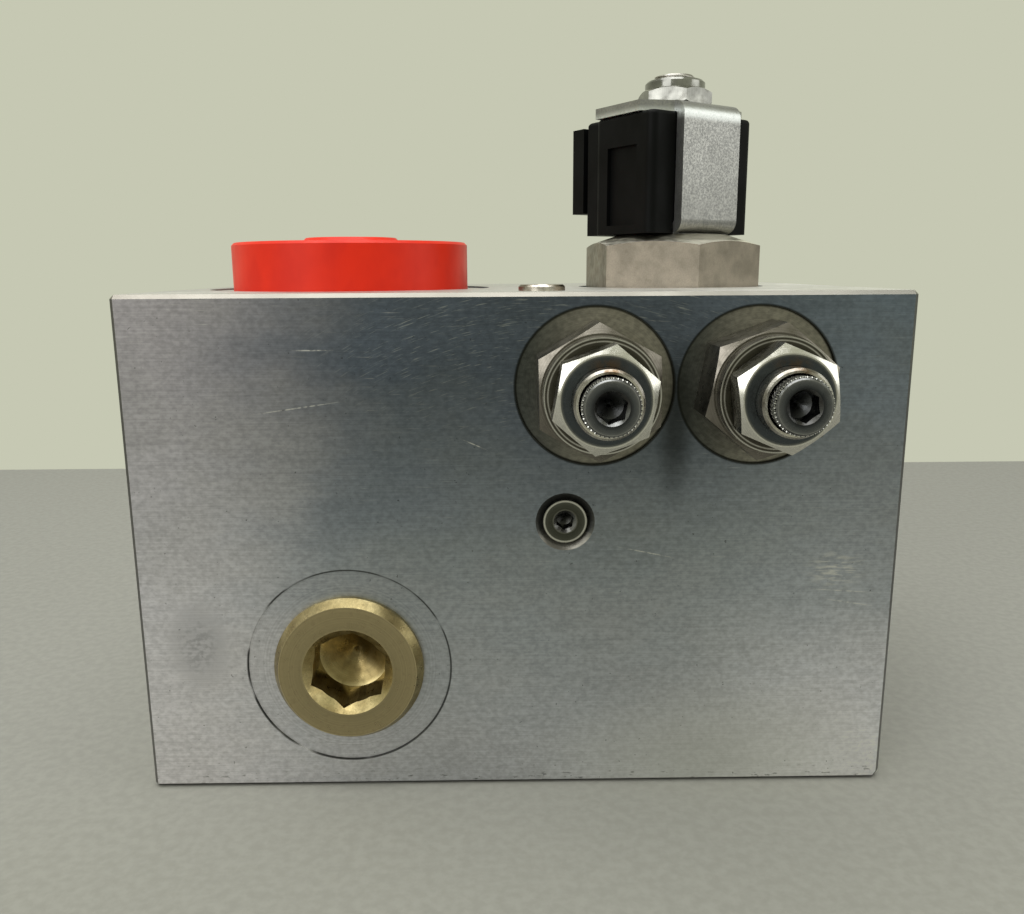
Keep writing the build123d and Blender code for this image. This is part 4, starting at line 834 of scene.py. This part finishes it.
def grow(name: str, tree: Tree, values: dict, finish: Finish,
         place: Matrix) -> bpy.types.Object:
    """Run a tree once and keep its result as a plain mesh.

    Args:
        name: name of the new piece.
        tree: Geometry Nodes tree.
        values: input names and their values.
        finish: material of the piece.
        place: matrix that is applied to the mesh.

    Returns:
        The piece, at the origin, with its place in its mesh.
    """
    holder = bpy.data.objects.new(name + "_holder", bpy.data.meshes.new(name + "_seed"))
    bpy.context.scene.collection.objects.link(holder)
    modifier = holder.modifiers.new("grow", "NODES")
    modifier.node_group = tree
    sockets = {item.name: item.identifier
               for item in tree.interface.items_tree if item.in_out == "INPUT"}
    for label, value in values.items():
        modifier[sockets[label]] = value
    modifier[sockets["Finish"]] = finish
    holder.update_tag()
    graph = bpy.context.evaluated_depsgraph_get()
    mesh = bpy.data.meshes.new_from_object(holder.evaluated_get(graph), depsgraph=graph)
    holder.modifiers.remove(modifier)
    bpy.data.objects.remove(holder)
    mesh.transform(place)
    mesh.name = name
    piece = bpy.data.objects.new(name, mesh)
    bpy.context.scene.collection.objects.link(piece)
    return piece


def thread_tree() -> Tree:
    """Make the tree of a helical thread ridge, wound upward from the origin.

    Returns:
        The tree, with inputs for radius, pitch, turns and depth.
    """
    tree, given = open_tree("thread_ridge", {
        "Radius": ("NodeSocketFloat", 0.005), "Pitch": ("NodeSocketFloat", 0.001),
        "Turns": ("NodeSocketFloat", 3.0), "Depth": ("NodeSocketFloat", 0.0003)})
    out = given.outputs
    height = add_node(tree, "ShaderNodeMath", {"operation": "MULTIPLY"}, {
        0: out["Pitch"], 1: out["Turns"]})
    helix = add_node(tree, "GeometryNodeCurveSpiral", {}, {
        "Resolution": 40, "Rotations": out["Turns"], "Start Radius": out["Radius"],
        "End Radius": out["Radius"], "Height": height.outputs[0]})
    ridge = add_node(tree, "GeometryNodeCurvePrimitiveCircle", {"mode": "RADIUS"}, {
        "Resolution": 4, "Radius": out["Depth"]})
    tube = add_node(tree, "GeometryNodeCurveToMesh", {}, {
        "Curve": helix.outputs[0], "Profile Curve": ridge.outputs[0], "Fill Caps": True})
    close_tree(tree, tube.outputs[0], out["Finish"])
    return tree


def knurl_tree() -> Tree:
    """Make the tree of slanted ridges round a cylinder whose middle is the origin.

    Returns:
        The tree, with inputs for radius, length, count, depth and slant.
    """
    tree, given = open_tree("knurl", {
        "Radius": ("NodeSocketFloat", 0.00475), "Length": ("NodeSocketFloat", 0.005),
        "Count": ("NodeSocketInt", 36), "Depth": ("NodeSocketFloat", 0.0002),
        "Slant": ("NodeSocketFloat", 0.5)})
    out = given.outputs
    circle = add_node(tree, "GeometryNodeMeshCircle", {}, {
        "Vertices": out["Count"], "Radius": out["Radius"]})
    size = add_node(tree, "ShaderNodeCombineXYZ", {}, {
        0: out["Depth"], 1: out["Depth"], 2: out["Length"]})
    ridge = add_node(tree, "GeometryNodeMeshCube", {}, {"Size": size.outputs[0]})
    diamond = add_node(tree, "GeometryNodeTransform", {}, {
        "Geometry": ridge.outputs[0], "Rotation": (0.0, 0.0, math.pi / 4)})
    tilt = add_node(tree, "ShaderNodeCombineXYZ", {}, {0: out["Slant"]})
    tilted = add_node(tree, "GeometryNodeTransform", {}, {
        "Geometry": diamond.outputs[0], "Rotation": tilt.outputs[0]})
    where = add_node(tree, "GeometryNodeInputPosition")
    aim = add_node(tree, "FunctionNodeAlignRotationToVector", {"axis": "X"}, {
        "Vector": where.outputs[0]})
    copies = add_node(tree, "GeometryNodeInstanceOnPoints", {}, {
        "Points": circle.outputs[0], "Instance": tilted.outputs[0], "Rotation": aim.outputs[0]})
    close_tree(tree, copies.outputs[0], out["Finish"])
    return tree


# --- Sub-assemblies ----------------------------------------------------------------------------
def dress(node: str, finish: Finish) -> None:
    """Give a CAD node its finish.

    Args:
        node: name of the node.
        finish: its material.
    """
    mesh_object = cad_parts[node]
    mesh_object.data.materials.clear()
    mesh_object.data.materials.append(finish)
    LOG.info("dressed %s with %s", node, finish.name)


@dataclass
class ManifoldBlock:
    """The milled block with its tapped holes and rear port, in millimetres."""

    finish: MilledAluminium = field(default_factory=MilledAluminium)
    mount_radius: float = 4.7625
    mount_pitch: float = 1.5875
    mount_turns: float = 8.0
    mount_depth: float = 0.4
    mount_foot: float = 1.0
    mount_places: tuple[tuple[float, float], ...] = (
        (-57.15, -31.75), (57.15, -31.75), (-57.15, 31.75), (57.15, 31.75))
    port_radius: float = 9.525
    port_pitch: float = 1.5875
    port_turns: float = 11.0
    port_depth: float = 0.45
    port_set_in: float = 1.2
    port_place: Point = (15.0, 50.8, 83.7)

    def build(self, thread: Tree) -> None:
        """Dress the block and cut its visible threads.

        Args:
            thread: tree of a thread ridge.
        """
        metal = self.finish.build()
        dress("manifold_block", metal)
        for number, (x, y) in enumerate(self.mount_places, start=1):
            place = Matrix.Translation(Vector((x, y, self.mount_foot)) * MM)
            ridge = grow(f"mount_thread_{number}", thread, {
                "Radius": self.mount_radius * MM, "Pitch": self.mount_pitch * MM,
                "Turns": self.mount_turns, "Depth": self.mount_depth * MM}, metal, place)
            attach(ridge, "valve_block")
            LOG.info("built %s", ridge.name)
        x, y, z = self.port_place
        place = Matrix.Translation(Vector((x, y - self.port_set_in, z)) * MM) @ LAID_FORWARD
        ridge = grow("rear_port_thread", thread, {
            "Radius": self.port_radius * MM, "Pitch": self.port_pitch * MM,
            "Turns": self.port_turns, "Depth": self.port_depth * MM}, metal, place)
        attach(ridge, "valve_block")
        LOG.info("built %s", ridge.name)


@dataclass
class PortFittings:
    """Port plug, cap and the small socket plugs."""

    plug_centre: Point = (-34.3, -50.8, 26.6)
    gauge_centre: Point = (9.5, -50.8, 56.9)
    top_centre: Point = (5.4, -37.8, 101.6)
    side_centres: tuple[tuple[str, Point], ...] = (
        ("pressure_plug", (76.2, 4.0, 83.7)), ("return_plug", (76.2, -27.65, 74.7)),
        ("lower_plug", (76.2, 0.0, 45.0)))

    def build(self, rubber: Finish) -> None:
        """Dress the fittings.

        Args:
            rubber: finish of the seals.
        """
        # Gold dichromate plating: warm and a little uneven, with a painted highlight on the rim and
        # painted shade in the socket.
        dress("port_plug", TurnedMetal(
            "gold_dichromate_steel", TurningAxis.ALONG_Y, self.plug_centre, "#b8a97c", "#9a8a60",
            radius_tones_and_light=((0.0, "#5a4c2e"), (6.5, "#6c5d38"), (7.4, "#a89a70"), (9.0, "#bdae84"),
                   (9.3, "#9f9270"), (13.7, "#a69875"), (14.2, "#d9cba2")),
            grime="#4a3f28", roughness=0.32, ring_pitch=0.25, grime_share=0.22).build())
        # Moulded polyethylene: strong red with a soft inner glow and a satin skin.
        dress("port_cap", MouldedPlastic(
            "red_polyethylene", "#e02c10", "#d4250c", roughness=0.40, glow=0.12,
            specular=0.25).build())
        # Oiled steel: dark ring between two turned edges with painted highlights, and painted shade
        # in the socket.
        dress("gauge_plug", TurnedMetal(
            "gauge_plug_steel", TurningAxis.ALONG_Y, self.gauge_centre, "#8a8b8a", "#5c5b59",
            radius_tones_and_light=((0.0, "#1c1c18"), (1.75, "#3a3a34"), (2.0, "#d0cfc6"), (2.3, "#77776e"),
                   (2.6, "#46473f"), (3.85, "#54554d"), (4.1, "#d8d7ce"),
                   (4.35, "#77766f"))).build())
        dress("top_gallery_plug", TurnedMetal(
            "top_plug_steel", TurningAxis.ALONG_Z, self.top_centre, "#c9c4ba", "#7c7264",
            grime_share=0.6).build())
        for node, centre in self.side_centres:
            dress(node, TurnedMetal(
                f"{node}_steel", TurningAxis.ALONG_X, centre, "#c4c0b4", "#8a867c").build())
        for node in ("port_plug_oring", "gauge_plug_oring", "side_plug_orings"):
            dress(node, rubber)


@dataclass
class ReliefValve:
    """One adjustable relief valve, in millimetres."""

    side: str
    x: float
    z: float
    y: float = -50.8
    knurl_radius: float = 4.75
    knurl_face: float = -78.2
    knurl_length: float = 5.6
    knurl_count: int = 40
    knurl_depth: float = 0.22
    knurl_sunk: float = 0.05
    knurl_slant: float = 0.5

    def build(self, knurl: Tree, rubber: Finish, spring: Finish) -> None:
        """Dress the valve and knurl its adjusting screw.

        Args:
            knurl: tree of a knurl.
            rubber: finish of the seals.
            spring: finish of the spring.
        """
        axis = TurningAxis.ALONG_Y
        centre = (self.x, self.y, self.z)
        # Zinc-plated steel: dull grey with an olive cast; the end face has painted highlights on
        # the turned edges and painted shade round the nut.
        dress(f"{self.side}_valve_body", TurnedMetal(
            f"{self.side}_body_zinc_steel", axis, centre, "#8f8a82", "#67635c",
            radius_tones_and_light=((0.0, "#38362f"), (9.0, "#45433a"), (9.55, "#55524a"), (9.7, "#cfcdc6"),
                   (9.9, "#5b574f"), (10.15, "#45433a"), (10.35, "#d6d4cd"), (10.6, "#6a665e"),
                   (12.8, "#7b766e")),
            roughness=0.30, ring_pitch=0.2).build())
        inner = TurnedMetal(
            f"{self.side}_ground_steel", axis, centre, "#b9b9b9", "#8c8c8c").build()
        for piece in ("cage", "poppet", "spring_seat"):
            dress(f"{self.side}_{piece}", inner)
        # The nut and the stem are brighter, with brown oil stains on top, and painted highlights
        # on the nut's chamfer and the stem's rim.
        dress(f"{self.side}_lock_nut", TurnedMetal(
            f"{self.side}_nut_steel", axis, centre, "#8f8d89", "#5b5955",
            radius_tones_and_light=((0.0, "#4d5256"), (7.4, "#4d5256"), (7.75, "#6e706e"), (7.95, "#e2e0d8")),
            roughness=0.24, grime="#3a332a",
            stains=(((self.x, -66.0, self.z + 6.0), (5.0, 9.0, 2.6)),)).build())
        dress(f"{self.side}_stem", TurnedMetal(
            f"{self.side}_stem_steel", axis, centre, "#b5b2ab", "#77736c",
            radius_tones_and_light=((0.0, "#77736c"), (4.9, "#8a867c"), (5.3, "#dcd8cb"), (6.1, "#cbc7bb")),
            roughness=0.24, stains=(((self.x, -74.0, self.z + 5.4), (3.6, 9.0, 1.4)),)).build())
        # Hardened socket screw: dark end face, painted shade in the socket and a painted highlight
        # on the edge by the knurl.
        screw = TurnedMetal(
            f"{self.side}_screw_steel", axis, centre, "#7d7e7e", "#4b4b4a",
            radius_tones_and_light=((0.0, "#26282a"), (3.1, "#3c3e40"), (3.6, "#55585a"), (4.3, "#6f7172"),
                   (4.75, "#c9c9c4")),
            roughness=0.27).build()
        dress(f"{self.side}_adjusting_screw", screw)
        dress(f"{self.side}_spring", spring)
        dress(f"{self.side}_body_oring", rubber)
        dress(f"{self.side}_cage_oring", rubber)
        middle = self.knurl_face + self.knurl_length / 2
        place = Matrix.Translation(Vector((self.x, middle, self.z)) * MM) @ LAID_FORWARD
        for hand, slant in (("right", self.knurl_slant), ("left", -self.knurl_slant)):
            ridges = grow(f"{self.side}_knurl_{hand}_hand", knurl, {
                "Radius": (self.knurl_radius - self.knurl_sunk) * MM,
                "Length": self.knurl_length * MM, "Count": self.knurl_count,
                "Depth": self.knurl_depth * MM, "Slant": slant}, screw, place)
            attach(ridges, f"{self.side}_screw")
            LOG.info("built %s", ridges.name)


@dataclass
class SolenoidValve:
    """Solenoid cartridge valve with its coil, in millimetres."""

    centre: Point = (38.1, 0.0, 101.6)
    stud_radius: float = 4.65
    stud_pitch: float = 1.27
    stud_foot: float = 148.4
    stud_turns: float = 0.5
    stud_depth: float = 0.22

    def build(self, thread: Tree, rubber: Finish, spring: Finish) -> None:
        """Dress the valve and cut the thread of its stud.

        Args:
            thread: tree of a thread ridge.
            rubber: finish of the seals.
            spring: finish of the spring.
        """
        axis = TurningAxis.ALONG_Z
        # Dull zinc plating: even warm grey; the top is painted pale, with a painted highlight on
        # the chamfer round the hexagon.
        dress("cartridge_body", TurnedMetal(
            "cartridge_zinc_steel", axis, self.centre, "#8c8478", "#7d766b",
            radius_tones_and_light=((0.0, "#b3afa2"), (17.2, "#bcb8aa"), (18.4, "#f0ece0")), roughness=0.38,
            grain_length=0.3, contrast=0.08, grime_share=0.08).build())
        inner = TurnedMetal(
            "solenoid_ground_steel", axis, self.centre, "#b9b9b9", "#8c8c8c").build()
        for node in ("valve_cage", "spool", "plunger", "pole_piece"):
            dress(node, inner)
        tube = TurnedMetal("core_tube_steel", axis, self.centre, "#c8c6c2", "#8c8880").build()
        dress("core_tube", tube)
        # Bright nickel plating: smooth, with hardly any tool marks; the end face is painted lighter
        # towards the rim as a highlight.
        dress("coil_nut", TurnedMetal(
            "coil_nut_nickel", axis, self.centre, "#8d8d88", "#6e6e6a",
            radius_tones_and_light=((0.0, "#8d8d88"), (5.2, "#a9a8a2"), (7.6, "#dddcd4")), roughness=0.16,
            ring_depth=0.004, contrast=0.06, grime_share=0.2).build())
        dress("coil_frame", ZincPlatedStrip().build())
        # Glass-filled nylon: deep black with a low sheen.
        shell = MouldedPlastic(
            "glass_filled_nylon", "#0b0c0c", "#060706", roughness=0.50, specular=0.08).build()
        dress("coil_body", shell)
        dress("coil_bobbin", shell)
        dress("coil_winding", MouldedPlastic(
            "enamelled_copper", "#a3542a", "#7c3a1a", roughness=0.3).build())
        dress("coil_terminals", TurnedMetal(
            "tinned_brass", TurningAxis.ALONG_Y, self.centre, "#d8d4c8", "#aaa698").build())
        dress("plunger_spring", spring)
        dress("cartridge_oring", rubber)
        dress("valve_cage_orings", rubber)
        x, y, _ = self.centre
        place = Matrix.Translation(Vector((x, y, self.stud_foot)) * MM)
        ridge = grow("stud_thread", thread, {
            "Radius": self.stud_radius * MM, "Pitch": self.stud_pitch * MM,
            "Turns": self.stud_turns, "Depth": self.stud_depth * MM}, tube, place)
        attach(ridge, "valve_block")
        LOG.info("built %s", ridge.name)


@dataclass
class Studio:
    """Pale floor, soft lamps and the camera.

    The floor and the lamps are in metres and watts, the camera's place is in millimetres and
    its turns are in degrees.
    """

    floor_half: float = 3.0
    floor_back: float = 0.26
    floor_tone: str = "#93938a"
    # Painted shade: the floor is a little darker towards the front.
    floor_front_shade: str = "#8f8f84"
    floor_shade_fade: tuple[float, float] = (-20.0, -110.0)
    backdrop_tone: str = "#c6c8b3"
    fill_tone: str = "#e6e6e2"
    fill_strength: float = 0.55
    lamps: tuple[tuple[str, Point, float, float], ...] = (
        ("overhead", (-0.10, -0.10, 0.95), 0.9, 8.0),
        ("front_left", (-0.75, -0.85, 0.55), 0.7, 5.0),
        ("right", (0.95, -0.25, 0.45), 0.6, 2.0))
    lamp_target: Point = (0.0, 0.0, 0.06)
    camera_place: Point = (-2.9, -221.1, 105.9)
    yaw: float = -0.66
    pitch: float = 11.87
    roll: float = -0.34
    focal_pixels: float = 895.0
    image_width: int = 1024
    sensor: float = 36.0
    clip_start: float = 0.01

    def build(self) -> None:
        """Build the floor, the light and the camera."""
        self.floor()
        self.world()
        for name, place, size, power in self.lamps:
            self.lamp(name, place, size, power)
        self.camera()

    def floor(self) -> None:
        """Lay the floor."""
        half, back = self.floor_half, self.floor_back
        corners = [(-half, -half, 0), (half, -half, 0), (half, back, 0), (-half, back, 0)]
        mesh = bpy.data.meshes.new("floor")
        mesh.from_pydata(corners, [], [(0, 1, 2, 3)])
        plane = bpy.data.objects.new("floor", mesh)
        bpy.context.scene.collection.objects.link(plane)
        material, tree, place = start_material("pale_board")
        speckle = grain(tree, place, (2.2, 2.2, 2.2), 4.0)
        parts = add_node(tree, "ShaderNodeSeparateXYZ", {}, {0: place})
        near = spread(tree, parts.outputs[1], *self.floor_shade_fade)
        # Painted shade: the floor is a little darker towards the front.
        colour = tint(tree, near, linear(self.floor_tone), linear(self.floor_front_shade))
        colour = shade(tree, colour, spread(tree, speckle, 0.3, 0.7, 0.94, 1.06))
        close_material(tree, {"Base Color": colour, "Roughness": 0.6, "Specular IOR Level": 0.2})
        mesh.materials.append(material)

    def world(self) -> None:
        """Fill the surroundings with a soft light, and show a pale backdrop behind."""
        world = bpy.data.worlds.new("studio")
        bpy.context.scene.world = world
        world.use_nodes = True
        tree = world.node_tree
        tree.nodes.clear()
        rays = add_node(tree, "ShaderNodeLightPath")
        through = add_node(tree, "ShaderNodeMath", {"operation": "MAXIMUM"}, {
            0: rays.outputs["Is Camera Ray"], 1: rays.outputs["Is Transmission Ray"]})
        seen = add_node(tree, "ShaderNodeMath", {"operation": "MAXIMUM"}, {
            0: through.outputs[0], 1: rays.outputs["Is Glossy Ray"]})
        light = add_node(tree, "ShaderNodeBackground", {}, {
            "Color": linear(self.fill_tone), "Strength": self.fill_strength})
        wall = add_node(tree, "ShaderNodeBackground", {}, {
            "Color": linear(self.backdrop_tone), "Strength": 1.0})
        both = add_node(tree, "ShaderNodeMixShader", {}, {
            0: seen.outputs[0], 1: light.outputs[0], 2: wall.outputs[0]})
        add_node(tree, "ShaderNodeOutputWorld", {}, {0: both.outputs[0]})

    def lamp(self, name: str, place: Point, size: float, power: float) -> None:
        """Hang a soft lamp aimed at the block.

        Args:
            name: name of the lamp.
            place: its place in metres.
            size: width in metres.
            power: watts.
        """
        data = bpy.data.lights.new(name, "AREA")
        data.shape = "SQUARE"
        data.size = size
        data.energy = power
        lamp = bpy.data.objects.new(name, data)
        lamp.location = place
        aim = Vector(self.lamp_target) - Vector(place)
        lamp.rotation_euler = aim.to_track_quat("-Z", "Y").to_euler()
        bpy.context.scene.collection.objects.link(lamp)

    def camera(self) -> None:
        """Set up the camera, turned by yaw, then pitch, then roll."""
        data = bpy.data.cameras.new("view")
        data.sensor_width = self.sensor
        data.lens = self.focal_pixels * self.sensor / self.image_width
        data.clip_start = self.clip_start
        camera = bpy.data.objects.new("view", data)
        yaw, pitch, roll = (math.radians(a) for a in (self.yaw, self.pitch, self.roll))
        right = Vector((math.cos(yaw), math.sin(yaw), 0))
        ahead = Vector((-math.sin(yaw), math.cos(yaw), 0))
        forward = ahead * math.cos(pitch) - Vector((0, 0, math.sin(pitch)))
        up = Vector((0, 0, math.cos(pitch))) + ahead * math.sin(pitch)
        rolled_right = right * math.cos(roll) + up * math.sin(roll)
        rolled_up = up * math.cos(roll) - right * math.sin(roll)
        turn = Matrix((rolled_right, rolled_up, -forward)).transposed().to_4x4()
        camera.matrix_world = Matrix.Translation(Vector(self.camera_place) * MM) @ turn
        bpy.context.scene.collection.objects.link(camera)
        bpy.context.scene.camera = camera


def main() -> None:
    """Build and dress the whole object and its studio."""
    logging.basicConfig(level=logging.INFO, format="%(message)s")
    bpy.context.scene.view_settings.view_transform = "Standard"
    thread = thread_tree()
    knurl = knurl_tree()
    rubber = SealRubber().build()
    (left_x, left_z), (right_x, right_z) = MilledAluminium.valve_places
    left = ReliefValve("left", left_x, left_z)
    right = ReliefValve("right", right_x, right_z)
    spring = TurnedMetal(
        "spring_wire", TurningAxis.ALONG_Y, (left.x, left.y, left.z), "#9a9a9c",
        "#5c5c5e").build()
    ManifoldBlock().build(thread)
    PortFittings().build(rubber)
    left.build(knurl, rubber, spring)
    right.build(knurl, rubber, spring)
    SolenoidValve().build(thread, rubber, spring)
    Studio().build()


if __name__ == "__main__":
    main()
